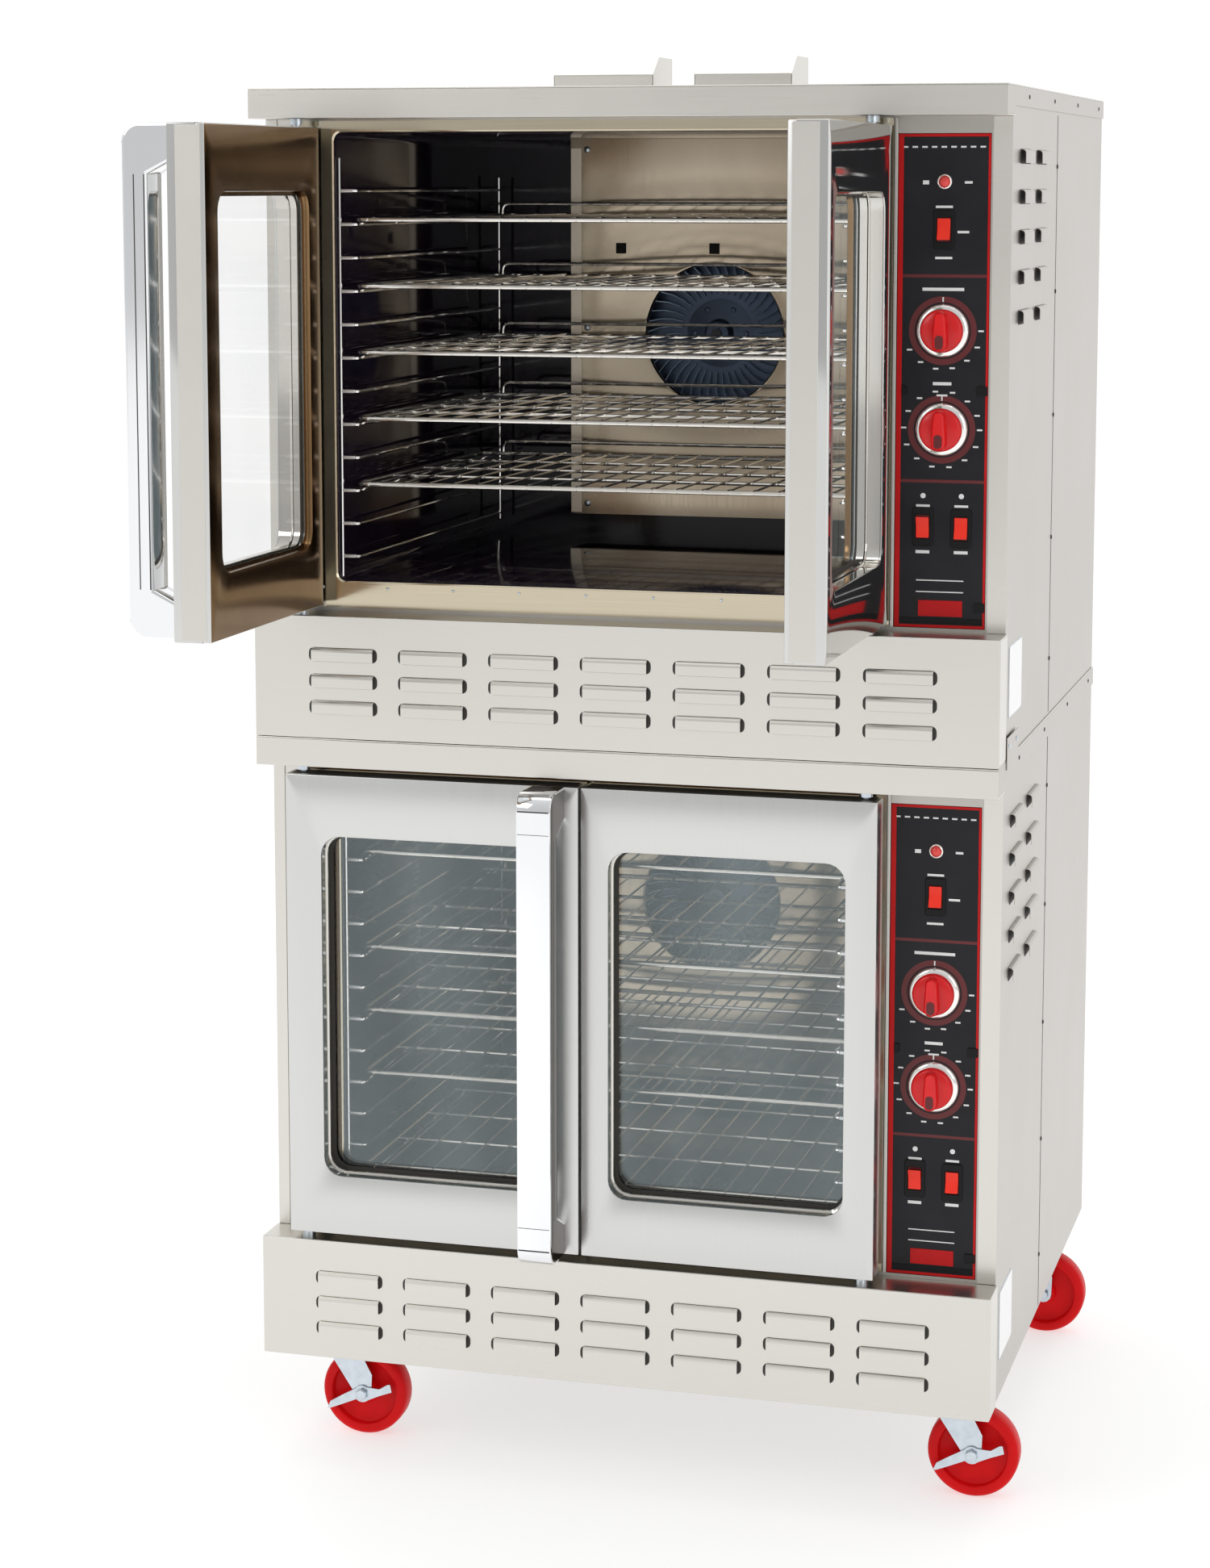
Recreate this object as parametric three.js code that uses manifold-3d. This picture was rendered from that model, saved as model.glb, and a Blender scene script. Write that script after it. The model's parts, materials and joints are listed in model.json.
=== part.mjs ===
// A double-deck commercial convection oven on four casters: two stacked ovens, each with a pair
// of French doors, a control column, five sliding racks and a blower behind a baffle.
// Millimetres. +X is to the right seen from the front, +Y to the back, +Z up.
import * as THREE from "three";
import { mergeVertices } from "three/addons/utils/BufferGeometryUtils.js";
import Module from "manifold-3d";

const wasm = await Module();
wasm.setup();

// ---- Driving dimensions -------------------------------------------------------------------
const CABINET_WIDTH = 1016;
const CABINET_DEPTH = 900;
const DECK_HEIGHT = 870;
const CASTER_HEIGHT = 157;
const SHEET = 2; // folded steel sheet
const GAP = 0.3; // air left between pieces that touch

const BOW_DEPTH = 60; // how far the louver panel and the cap stand out in front of the cabinet
const LOUVER_PANEL_HEIGHT = 167;
const LOUVER = { width: 97, height: 18, stand: 8, left: -430, top: 124, columnPitch: 126.7, rowPitch: 36 };
const LOUVER_GRID = { columns: 7, rows: 3 };
const CAP_HEIGHT = 40;
const CAP_FLANGE = 27;
const FLUE = { front: 740, back: 860, slope: 38, lowEdge: 40, height: 68 };
const FLUE_SPANS = [[-318, -160], [-95, 57]];

const CAVITY = { left: -408, right: 329, bottom: 209, top: 812, back: 690 };
const LINER_WALL = 3;
const LINER_FLANGE = 14;
const MOUTH = { left: -420, right: 340, bottom: 205, top: 815 }; // oven mouth in the front wall
const CONTROL = { left: 358, right: 478, bottom: 172, top: 808 };
const CONTROL_FACE = 1.5; // the control face sits this far behind the front wall's face

const DOOR = { bottom: 177, top: 819, outer: -57, inner: -7 };
const DOOR_SPANS = { left: [-468, -53], right: [-50, 351] };
const HINGE_INSET = 20; // hinge axis from the door's hinge edge
const HINGE_BEVEL = 12; // legs of the bevel that keeps an open door's inner edge off the racks
const HINGE_Y = -35;
const PIN_RADIUS = 5;
const WINDOW = { bottom: 260, top: 734, radius: 26, left: [-416.5, -97], right: [-11.5, 308.5] };
const GLASS = { thickness: 5, inset: 10 }; // inset: from the door's inner face
const OPEN_ANGLE = Math.PI / 2;

const HANDLE = { left: -120, right: -72, front: -125, bar: 34, bracket: 45, slant: 18, radius: 24 };

const BLOWER = { x: -38, z: 520, radius: 125, inlet: 105, blades: 12 };
const BAFFLE = { halfWidth: 224, bottom: 244, y: 640 };
const WHEEL_GAP = { front: 9, back: 6 }; // air between the blower wheel and the baffle and back wall
const MOTOR = { radius: 62, length: 140, flange: 80, shaft: 8 };
const SENSOR_HOLE = { size: 16, bottom: 640, offsets: [-153, -8] }; // offsets from the blower's axis

const RUNG_COUNT = 12;
const RUNG_TOP = 735;
const RUNG_PITCH = 44.9;
const WIRE = 5;
const RACK = { left: -397, right: 301, front: 40, back: 600, stop: 25, wires: 8 };
const LADDER = { front: 8, back: 657, frontPost: [212, 780], rearPost: [230, 755], reach: 19 };
const RACK_RUNGS = { upper: [1, 3, 5, 7, 9], lower: [1, 4, 6, 8, 11] };

const KNOB_X = 418;
const KNOB_HEIGHTS = { timer: 557, thermostat: 430 };
const KNOB = { skirt: 35, cap: 28, depth: 30, grip: 20, shaft: 3 };
const ROCKER = { width: 17, height: 28, tilt: THREE.MathUtils.degToRad(10) };
const ROCKERS = [
  { name: "power_rocker", x: 418, z: 686, up: false },
  { name: "light_rocker", x: 395, z: 304, up: true },
  { name: "fan_rocker", x: 445, z: 302, up: false },
];
const BEZEL = { width: 27, height: 50, stand: 3 };

const WHEEL = { radius: 63.5, width: 35, segments: 20 };
const CASTER = { x: 437, frontY: 85, backY: 770, trail: 30, legInner: 20, leg: 3, axle: 5 };

// ---- Materials ----------------------------------------------------------------------------
const metal = (color, roughness) => new THREE.MeshStandardMaterial({ color, roughness, metalness: 1 });
const plastic = (color, roughness) => new THREE.MeshStandardMaterial({ color, roughness });
const SATIN_STEEL = metal(0xd9d7d2, 0.38);
const BRIGHT_STEEL = metal(0xe6e6e6, 0.15);
const CHROME = metal(0xf0f0f0, 0.08);
const ZINC = metal(0xb9c4cc, 0.3);
const PORCELAIN = plastic(0x1a1622, 0.15);
const BLOWER_PAINT = plastic(0x1d222e, 0.35);
const CHARCOAL = plastic(0x3c3d42, 0.45);
const KNOB_RED = plastic(0xe01818, 0.3);
const ROCKER_RED = plastic(0xd93020, 0.35);
const WHEEL_RED = plastic(0xd01515, 0.45);
const MOTOR_GREY = plastic(0x55585c, 0.6);
const OVEN_GLASS = new THREE.MeshStandardMaterial({
  color: 0x7f8b91,
  roughness: 0.05,
  transparent: true,
  opacity: 0.35,
});

// ---- Solid modelling helpers --------------------------------------------------------------
function toSolid(geometry) {
  const bare = geometry.index ? geometry.toNonIndexed() : geometry.clone();
  bare.deleteAttribute("normal");
  bare.deleteAttribute("uv");
  const merged = mergeVertices(bare, 1e-4);
  return new wasm.Manifold(
    new wasm.Mesh({
      numProp: 3,
      vertProperties: merged.attributes.position.array,
      triVerts: new Uint32Array(merged.index.array),
    }),
  );
}

function toGeometry(solid) {
  const mesh = solid.getMesh();
  const geometry = new THREE.BufferGeometry();
  geometry.setAttribute("position", new THREE.BufferAttribute(mesh.vertProperties, 3));
  geometry.setIndex(new THREE.BufferAttribute(mesh.triVerts, 1));
  geometry.computeVertexNormals();
  return geometry;
}

// Joins a list of closed geometries, then cuts another list out of the result.
function shape(joined, cuts = []) {
  let solid = joined.map(toSolid).reduce((a, b) => a.add(b));
  for (const tool of cuts) solid = solid.subtract(toSolid(tool));
  return toGeometry(solid);
}

function box(x0, x1, y0, y1, z0, z1) {
  const geometry = new THREE.BoxGeometry(x1 - x0, y1 - y0, z1 - z0);
  return geometry.translate((x0 + x1) / 2, (y0 + y1) / 2, (z0 + z1) / 2);
}

// A round bar between y0 and y1, seen end on at (x, z).
function barAlongY(radius, x, z, y0, y1, segments = 16) {
  return new THREE.CylinderGeometry(radius, radius, y1 - y0, segments).translate(x, (y0 + y1) / 2, z);
}

function barAlongZ(radius, x, y, z0, z1, segments = 12) {
  const geometry = new THREE.CylinderGeometry(radius, radius, z1 - z0, segments);
  return geometry.rotateX(Math.PI / 2).translate(x, y, (z0 + z1) / 2);
}

// Extrudes an outline drawn in X and Z (seen from the front) from y0 back to y1.
function frontOutline(outline, y0, y1, curveSegments = 4) {
  const options = { depth: y1 - y0, bevelEnabled: false, curveSegments };
  return new THREE.ExtrudeGeometry(outline, options).rotateX(Math.PI / 2).translate(0, y1, 0);
}

// Extrudes an outline drawn in Y and Z (seen from the side) from x0 to x1.
function sideOutline(outline, x0, x1, curveSegments = 4) {
  const options = { depth: x1 - x0, bevelEnabled: false, curveSegments };
  const turn = new THREE.Matrix4().makeBasis(
    new THREE.Vector3(0, 1, 0),
    new THREE.Vector3(0, 0, 1),
    new THREE.Vector3(1, 0, 0),
  );
  return new THREE.ExtrudeGeometry(outline, options).applyMatrix4(turn).translate(x0, 0, 0);
}

function roundedRectangle(x0, x1, z0, z1, radius) {
  const path = new THREE.Shape();
  path.moveTo(x0 + radius, z0);
  path.lineTo(x1 - radius, z0);
  path.absarc(x1 - radius, z0 + radius, radius, -Math.PI / 2, 0);
  path.lineTo(x1, z1 - radius);
  path.absarc(x1 - radius, z1 - radius, radius, 0, Math.PI / 2);
  path.lineTo(x0 + radius, z1);
  path.absarc(x0 + radius, z1 - radius, radius, Math.PI / 2, Math.PI);
  path.lineTo(x0, z0 + radius);
  path.absarc(x0 + radius, z0 + radius, radius, Math.PI, 1.5 * Math.PI);
  return path;
}

function mesh(name, geometry, material, parent) {
  const made = new THREE.Mesh(geometry, material);
  made.name = name;
  parent.add(made);
  return made;
}

// ---- Cabinet ------------------------------------------------------------------------------
const HALF_WIDTH = CABINET_WIDTH / 2;
const SHELL_HALF = HALF_WIDTH - SHEET - GAP;
const LID_TOP = DECK_HEIGHT - GAP;
const LID_BOTTOM = LID_TOP - SHEET;

// Side walls, back, floor and front wall folded from sheet, open at the top.
function cabinetShell() {
  const outer = box(-SHELL_HALF, SHELL_HALF, 0, CABINET_DEPTH, 0, LID_BOTTOM - GAP);
  const inside = SHELL_HALF - SHEET;
  const hollow = box(-inside, inside, SHEET, CABINET_DEPTH - SHEET, SHEET, DECK_HEIGHT);
  const through = [-SHEET, 2 * SHEET];
  const mouth = box(MOUTH.left, MOUTH.right, ...through, MOUTH.bottom, MOUTH.top);
  const controls = box(CONTROL.left, CONTROL.right, ...through, CONTROL.bottom - GAP, CONTROL.top + GAP);
  return shape([outer], [hollow, mouth, controls]);
}

function hingePins(z0, z1) {
  return [doorHinge("left"), doorHinge("right")].map((x) => barAlongZ(PIN_RADIUS, x, HINGE_Y, z0, z1, 8));
}

// A sloped-front flue outlet that stands on the cap.
function flueBox(x0, x1) {
  const { front, back, slope, lowEdge, height } = FLUE;
  const side = new THREE.Shape([
    new THREE.Vector2(front, LID_TOP - 1),
    new THREE.Vector2(back, LID_TOP - 1),
    new THREE.Vector2(back, LID_TOP + height),
    new THREE.Vector2(front + slope, LID_TOP + height),
    new THREE.Vector2(front, LID_TOP + lowEdge),
  ]);
  return sideOutline(side, x0, x1);
}

// The lid, its side flanges and the hollow bow along the front edge.
function topCap(withFlues) {
  const bottom = DECK_HEIGHT - CAP_HEIGHT;
  const back = -GAP;
  const pieces = [
    box(-HALF_WIDTH, HALF_WIDTH, -BOW_DEPTH, CABINET_DEPTH, LID_BOTTOM, LID_TOP),
    box(-HALF_WIDTH, HALF_WIDTH, -BOW_DEPTH, SHEET - BOW_DEPTH, bottom, LID_TOP),
    box(-HALF_WIDTH, HALF_WIDTH, -BOW_DEPTH, back, bottom, bottom + SHEET),
    ...hingePins(DOOR.top - 2 * SHEET - 4, bottom + SHEET),
  ];
  for (const side of [-1, 1]) {
    const [x0, x1] = side < 0 ? [-HALF_WIDTH, SHEET - HALF_WIDTH] : [HALF_WIDTH - SHEET, HALF_WIDTH];
    pieces.push(box(x0, x1, -BOW_DEPTH, back, bottom, LID_TOP));
    pieces.push(box(x0, x1, back - 1, CABINET_DEPTH, LID_TOP - CAP_FLANGE, LID_TOP));
  }
  if (withFlues) for (const [x0, x1] of FLUE_SPANS) pieces.push(flueBox(x0, x1));
  return shape(pieces);
}

// One pressed louver, a wedge that stands out of the sheet along its top edge.
function louver(left, top) {
  const { width, height, stand } = LOUVER;
  const front = -BOW_DEPTH;
  const outside = new THREE.Shape([
    new THREE.Vector2(front + 1, top - height),
    new THREE.Vector2(front - stand, top),
    new THREE.Vector2(front + 1, top),
  ]);
  return sideOutline(outside, left, left + width);
}

function louverPanel() {
  const inner = HALF_WIDTH - SHEET;
  const top = LOUVER_PANEL_HEIGHT;
  const cover = box(-HALF_WIDTH, HALF_WIDTH, -BOW_DEPTH, -GAP, GAP, top);
  const hollow = box(-inner, inner, SHEET - BOW_DEPTH, SHEET, GAP + SHEET, top - SHEET);
  const panel = shape([cover], [hollow]);
  const additions = hingePins(top - SHEET, DOOR.bottom + 2 * SHEET + 4);
  for (let column = 0; column < LOUVER_GRID.columns; column++)
    for (let row = 0; row < LOUVER_GRID.rows; row++) {
      additions.push(louver(LOUVER.left + LOUVER.columnPitch * column, LOUVER.top - LOUVER.rowPitch * row));
    }
  return shape([panel, ...additions]);
}

// ---- Oven cavity --------------------------------------------------------------------------
function ovenLiner() {
  const { left, right, bottom, top, back } = CAVITY;
  const wall = LINER_WALL;
  const front = SHEET + GAP;
  const flange = LINER_FLANGE;
  const body = box(left - wall, right + wall, front, back + wall, bottom - wall, top + wall);
  const lip = box(left - flange, right + flange, front, front + wall, bottom - flange, top + flange);
  const hollow = box(left, right, -SHEET, back, bottom, top);
  const shaftHole = barAlongY(MOTOR.shaft + 4, BLOWER.x, BLOWER.z, back - wall, back + 2 * wall);
  return shape([body, lip], [hollow, shaftHole]);
}

// A channel across the back wall: air goes in at the round inlet and out at the open ends.
function fanBaffle() {
  const { halfWidth, bottom, y } = BAFFLE;
  const left = BLOWER.x - halfWidth;
  const right = BLOWER.x + halfWidth;
  const top = CAVITY.top - GAP;
  const channel = box(left, right, y, CAVITY.back - GAP, bottom, top);
  const hollow = box(left + SHEET, right - SHEET, y + SHEET, CAVITY.back, bottom - 1, top + 1);
  const inlet = barAlongY(BLOWER.inlet, BLOWER.x, BLOWER.z, y - 1, y + 2 * SHEET, 32);
  const { size, bottom: sill, offsets } = SENSOR_HOLE;
  const sensorHoles = offsets.map((offset) => {
    const x = BLOWER.x + offset;
    return box(x, x + size, y - 1, y + 2 * SHEET, sill, sill + size);
  });
  return shape([channel], [hollow, inlet, ...sensorHoles]);
}

function blowerWheel() {
  const { x, z, radius, blades } = BLOWER;
  const front = BAFFLE.y + WHEEL_GAP.front;
  const back = CAVITY.back - WHEEL_GAP.back;
  const disc = barAlongY(radius, x, z, back - 2, back, 20);
  const hub = barAlongY(22, x, z, front + 6, back, 12);
  const rim = barAlongY(radius, x, z, front, front + 3, 20);
  const rimHole = barAlongY(radius - 18, x, z, front - 1, front + 4, 20);
  const ring = shape([rim], [rimHole]);
  const pieces = [disc, hub, ring];
  for (let i = 0; i < blades; i++) {
    const blade = box(30, radius - 3, front + 1, back - 1, -1.5, 1.5);
    pieces.push(blade.rotateY((2 * Math.PI * i) / blades).translate(x, 0, z));
  }
  const bore = barAlongY(MOTOR.shaft + GAP, x, z, front - 1, back + 1, 12);
  return shape(pieces, [bore]);
}

function fanMotor() {
  const { x, z } = BLOWER;
  const wallBack = CAVITY.back + LINER_WALL + GAP;
  return shape([
    barAlongY(MOTOR.shaft, x, z, BAFFLE.y + 14, wallBack + 2, 12),
    barAlongY(MOTOR.flange, x, z, wallBack, wallBack + 4, 20),
    barAlongY(MOTOR.radius, x, z, wallBack + 3, wallBack + MOTOR.length, 20),
  ]);
}

// ---- Racks and their ladders --------------------------------------------------------------
const rungHeight = (index) => RUNG_TOP - RUNG_PITCH * index;

// side -1 stands at the left cavity wall, side 1 at the right one. The front post is at the wall,
// clear of the racks, and each rung steps in under their edges and runs back to the rear post.
function rackLadder(side) {
  const { front, back, frontPost, rearPost, reach } = LADDER;
  const across = (from, to) => (side < 0 ? [from, to] : [to, from]);
  const wall = side < 0 ? CAVITY.left + GAP : CAVITY.right - GAP;
  const edge = side < 0 ? RACK.left + reach : RACK.right - reach;
  const inner = edge + side * WIRE;
  const pieces = [
    box(...across(wall, wall - side * WIRE), front, front + WIRE, ...frontPost),
    box(...across(inner, edge), back - WIRE, back, ...rearPost),
  ];
  for (let i = 0; i < RUNG_COUNT; i++) {
    const span = [rungHeight(i) - WIRE / 2, rungHeight(i) + WIRE / 2];
    pieces.push(box(...across(wall, edge), front, front + WIRE, ...span));
    pieces.push(box(...across(inner, edge), front, back, ...span));
  }
  return shape(pieces);
}

// A flat grid of wires with a raised stop along its back edge. Its origin is its bottom plane.
function ovenRack() {
  const { left, right, front, back, stop, wires } = RACK;
  const edge = 7;
  const pieces = [
    box(left, right, front, front + edge, 0, edge),
    box(left, right, back - edge, back, 0, edge),
    box(left, left + edge, front, back, 0, edge),
    box(right - edge, right, front, back, 0, edge),
    box(left + 40, right - 40, back - WIRE, back, stop - WIRE, stop),
    box(left + 40, left + 40 + WIRE, back - WIRE, back, 1, stop),
    box(right - 40 - WIRE, right - 40, back - WIRE, back, 1, stop),
  ];
  const pitch = (right - left) / (wires + 1);
  for (let i = 1; i <= wires; i++) {
    const x = left + pitch * i;
    pieces.push(box(x - WIRE / 2, x + WIRE / 2, front + 1, back - 1, 1, 1 + WIRE));
  }
  return shape(pieces);
}

// ---- Doors --------------------------------------------------------------------------------
function doorHinge(side) {
  const [x0, x1] = DOOR_SPANS[side];
  return side === "left" ? x0 + HINGE_INSET : x1 - HINGE_INSET;
}

// A prism that bevels a door's inner vertical edge on the hinge side, by legs of the given length.
function hingeBevel(side, leg) {
  const [x0, x1] = DOOR_SPANS[side];
  const outward = side === "left" ? -1 : 1;
  const edge = (side === "left" ? x0 : x1) + outward;
  const back = DOOR.inner + 1;
  const reach = leg + 2;
  const corner = new THREE.Shape([
    new THREE.Vector2(edge, back),
    new THREE.Vector2(edge - outward * reach, back),
    new THREE.Vector2(edge, back - reach),
  ]);
  return new THREE.ExtrudeGeometry(corner, { depth: DECK_HEIGHT, bevelEnabled: false });
}

// A hollow folded shell around the window, with a bored hinge hole in its top and bottom edges.
function doorShell(side) {
  const [x0, x1] = DOOR_SPANS[side];
  const [w0, w1] = WINDOW[side];
  const { bottom, top, outer, inner } = DOOR;
  const slab = box(x0, x1, outer, inner, bottom, top);
  const window = roundedRectangle(w0, w1, WINDOW.bottom, WINDOW.top, WINDOW.radius);
  const hollow = box(x0 + SHEET, x1 - SHEET, outer + SHEET, inner - SHEET, bottom + SHEET, top - SHEET);
  const reveal = roundedRectangle(
    w0 - SHEET,
    w1 + SHEET,
    WINDOW.bottom - SHEET,
    WINDOW.top + SHEET,
    WINDOW.radius + SHEET,
  );
  const insideBevel = hingeBevel(side, HINGE_BEVEL + SHEET * Math.SQRT2);
  const ring = shape([hollow], [frontOutline(reveal, outer, inner), insideBevel]);
  const bevel = hingeBevel(side, HINGE_BEVEL);
  const bores = barAlongZ(PIN_RADIUS + 0.6, doorHinge(side), HINGE_Y, bottom - 5, top + 5, 8);
  return shape([slab], [frontOutline(window, outer - 5, inner + 5), ring, bevel, bores]);
}

function doorGlass(side) {
  const [w0, w1] = WINDOW[side];
  const back = DOOR.inner - GLASS.inset;
  const pane = roundedRectangle(
    w0 + GAP,
    w1 - GAP,
    WINDOW.bottom + GAP,
    WINDOW.top - GAP,
    WINDOW.radius - GAP,
  );
  return frontOutline(pane, back - GLASS.thickness, back, 3);
}

// A full-height bar on two flared brackets, with rounded outer corners.
function doorHandle() {
  const { left, right, front, bar, bracket, slant, radius } = HANDLE;
  const foot = DOOR.outer - GAP;
  const barBack = front + bar;
  const side = new THREE.Shape();
  side.moveTo(foot, DOOR.bottom);
  side.lineTo(foot, DOOR.bottom + bracket);
  side.lineTo(barBack, DOOR.bottom + bracket + slant);
  side.lineTo(barBack, DOOR.top - bracket - slant);
  side.lineTo(foot, DOOR.top - bracket);
  side.lineTo(foot, DOOR.top);
  side.lineTo(front + radius, DOOR.top);
  side.absarc(front + radius, DOOR.top - radius, radius, Math.PI / 2, Math.PI);
  side.lineTo(front, DOOR.bottom + radius);
  side.absarc(front + radius, DOOR.bottom + radius, radius, Math.PI, 1.5 * Math.PI);
  return sideOutline(side, left, right);
}

// A door pair hangs in two groups that turn about the hinge axes.
function addDoors(deck, name, angle) {
  for (const side of ["left", "right"]) {
    const hinge = doorHinge(side);
    const door = new THREE.Group();
    door.position.set(hinge, HINGE_Y, 0);
    door.rotation.z = side === "left" ? -angle : angle;
    deck.add(door);
    const place = (geometry) => geometry.translate(-hinge, -HINGE_Y, 0);
    mesh(`${name}_${side}_door_shell`, place(doorShell(side)), SATIN_STEEL, door);
    mesh(`${name}_${side}_door_glass`, place(doorGlass(side)), OVEN_GLASS, door);
    if (side === "left") mesh(`${name}_door_handle`, place(doorHandle()), BRIGHT_STEEL, door);
  }
}

// ---- Controls -----------------------------------------------------------------------------
function rockerHole(rocker, margin) {
  const halfWidth = ROCKER.width / 2 + 0.5 + margin;
  const halfHeight = ROCKER.height / 2 + 1.5 + margin;
  return box(rocker.x - halfWidth, rocker.x + halfWidth, -20, 20, rocker.z - halfHeight, rocker.z + halfHeight);
}

function controlPanel() {
  const { left, right, bottom, top } = CONTROL;
  const plate = box(left + GAP, right - GAP, CONTROL_FACE, CONTROL_FACE + 3, bottom, top);
  const bezels = ROCKERS.map(({ x, z }) =>
    box(
      x - BEZEL.width / 2,
      x + BEZEL.width / 2,
      CONTROL_FACE - BEZEL.stand,
      CONTROL_FACE + 1,
      z - BEZEL.height / 2,
      z + BEZEL.height / 2,
    ),
  );
  const holes = ROCKERS.map((rocker) => rockerHole(rocker, 0));
  for (const z of Object.values(KNOB_HEIGHTS)) holes.push(barAlongY(KNOB.shaft + 0.5, KNOB_X, z, -10, 10, 8));
  return shape([plate, ...bezels], holes);
}

// A dial knob about its own axis: a skirt, a cap, a grip bar and a shaft through the panel.
function controlKnob() {
  const back = CONTROL_FACE - GAP;
  const skirt = barAlongY(KNOB.skirt, 0, 0, back - 5, back, 24);
  const cap = barAlongY(KNOB.cap, 0, 0, back - 16, back - 4, 24);
  const grip = box(-KNOB.grip / 2, KNOB.grip / 2, back - KNOB.depth, back - 15, -KNOB.cap + 2, KNOB.cap - 2);
  const shaft = barAlongY(KNOB.shaft, 0, 0, back - 5, back + 18, 8);
  return shape([skirt, cap, grip, shaft]);
}

// A rocker about its pivot, with a shallow V face and a narrower back.
function rockerPaddle() {
  const half = ROCKER.height / 2;
  const side = new THREE.Shape([
    new THREE.Vector2(-4.5, -half),
    new THREE.Vector2(4, -10),
    new THREE.Vector2(4, 10),
    new THREE.Vector2(-4.5, half),
    new THREE.Vector2(-2, 0),
  ]);
  return sideOutline(side, -ROCKER.width / 2, ROCKER.width / 2);
}

function addControls(deck, name) {
  mesh(`${name}_control_panel`, controlPanel(), CHARCOAL, deck);
  for (const [use, z] of Object.entries(KNOB_HEIGHTS)) {
    const knob = mesh(`${name}_${use}_knob`, controlKnob(), KNOB_RED, deck);
    knob.position.set(KNOB_X, 0, z);
  }
  for (const { name: use, x, z, up } of ROCKERS) {
    const rocker = mesh(`${name}_${use}`, rockerPaddle(), ROCKER_RED, deck);
    rocker.position.set(x, 0, z);
    rocker.rotation.x = up ? ROCKER.tilt : -ROCKER.tilt;
  }
}

// ---- Casters ------------------------------------------------------------------------------
const FLAT_RADIUS = WHEEL.radius * Math.cos(Math.PI / WHEEL.segments); // axle height over a flat

function casterWheel() {
  const half = WHEEL.width / 2;
  const r = WHEEL.radius;
  const hub = CASTER.legInner - 0.5;
  const bore = CASTER.axle + 0.4;
  const section = [
    [bore, -hub],
    [17, -hub],
    [17, -8],
    [r - 16, -8],
    [r - 16, -half],
    [r - 6, -half],
    [r, -half + 7],
    [r, half - 7],
    [r - 6, half],
    [r - 16, half],
    [r - 16, 8],
    [17, 8],
    [17, hub],
    [bore, hub],
    [bore, -hub],
  ].map(([radius, along]) => new THREE.Vector2(radius, along));
  const wheel = new THREE.LatheGeometry(section, WHEEL.segments);
  return shape([wheel.rotateY(Math.PI / WHEEL.segments)]);
}

// The swivel head, two raked legs and the axle bolt, about the swivel axis.
function casterFork() {
  const { trail, legInner, leg, axle } = CASTER;
  const top = CASTER_HEIGHT - GAP;
  const rake = new THREE.Shape();
  rake.moveTo(-26, top - 16);
  rake.lineTo(-20, top - 40);
  rake.lineTo(trail - 13, FLAT_RADIUS + 4);
  rake.absarc(trail, FLAT_RADIUS, 13, Math.PI, 2 * Math.PI);
  rake.lineTo(28, top - 16);
  const legs = [-1, 1].map((side) => {
    const y = side * (legInner + leg / 2);
    return frontOutline(rake, y - leg / 2, y + leg / 2);
  });
  return shape([
    barAlongZ(34, 0, 0, top - 8, top, 16),
    box(-26, 28, -legInner - leg, legInner + leg, top - 18, top - 7),
    ...legs,
    barAlongY(axle, trail, FLAT_RADIUS, -legInner - leg - 10, legInner + leg + 4, 12),
    barAlongY(9, trail, FLAT_RADIUS, -legInner - leg - 10, -legInner - leg - 4, 6),
    barAlongY(9, trail, FLAT_RADIUS, legInner + leg - 1, legInner + leg + 6, 6),
  ]);
}

// A two-armed pedal on the front end of the axle bolt, about the axle.
function brakeLever() {
  const { legInner, leg, axle } = CASTER;
  const back = -legInner - leg - GAP;
  const outline = new THREE.Shape();
  outline.absarc(0, 0, 13, Math.PI * 0.32, Math.PI * 0.78);
  outline.lineTo(-48, -14);
  outline.lineTo(-53, -26);
  outline.absarc(0, 0, 13, Math.PI * 1.3, Math.PI * 1.75);
  outline.lineTo(45, 6);
  outline.lineTo(42, 18);
  const plate = frontOutline(outline, back - 3, back);
  const bore = barAlongY(axle + 0.4, 0, 0, back - 5, back + 2, 12);
  return shape([plate], [bore]);
}

function addCasters(parent) {
  const rows = { front: CASTER.frontY, rear: CASTER.backY };
  for (const [row, y] of Object.entries(rows))
    for (const side of ["left", "right"]) {
      const caster = new THREE.Group();
      caster.position.set(side === "left" ? -CASTER.x : CASTER.x, y, 0);
      parent.add(caster);
      mesh(`${row}_${side}_caster_fork`, casterFork(), ZINC, caster);
      const wheel = mesh(`${row}_${side}_caster_wheel`, casterWheel(), WHEEL_RED, caster);
      wheel.position.set(CASTER.trail, 0, FLAT_RADIUS);
      if (row !== "front") continue;
      const brake = mesh(`${row}_${side}_brake_lever`, brakeLever(), ZINC, caster);
      brake.position.set(CASTER.trail, 0, FLAT_RADIUS);
    }
}

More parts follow.
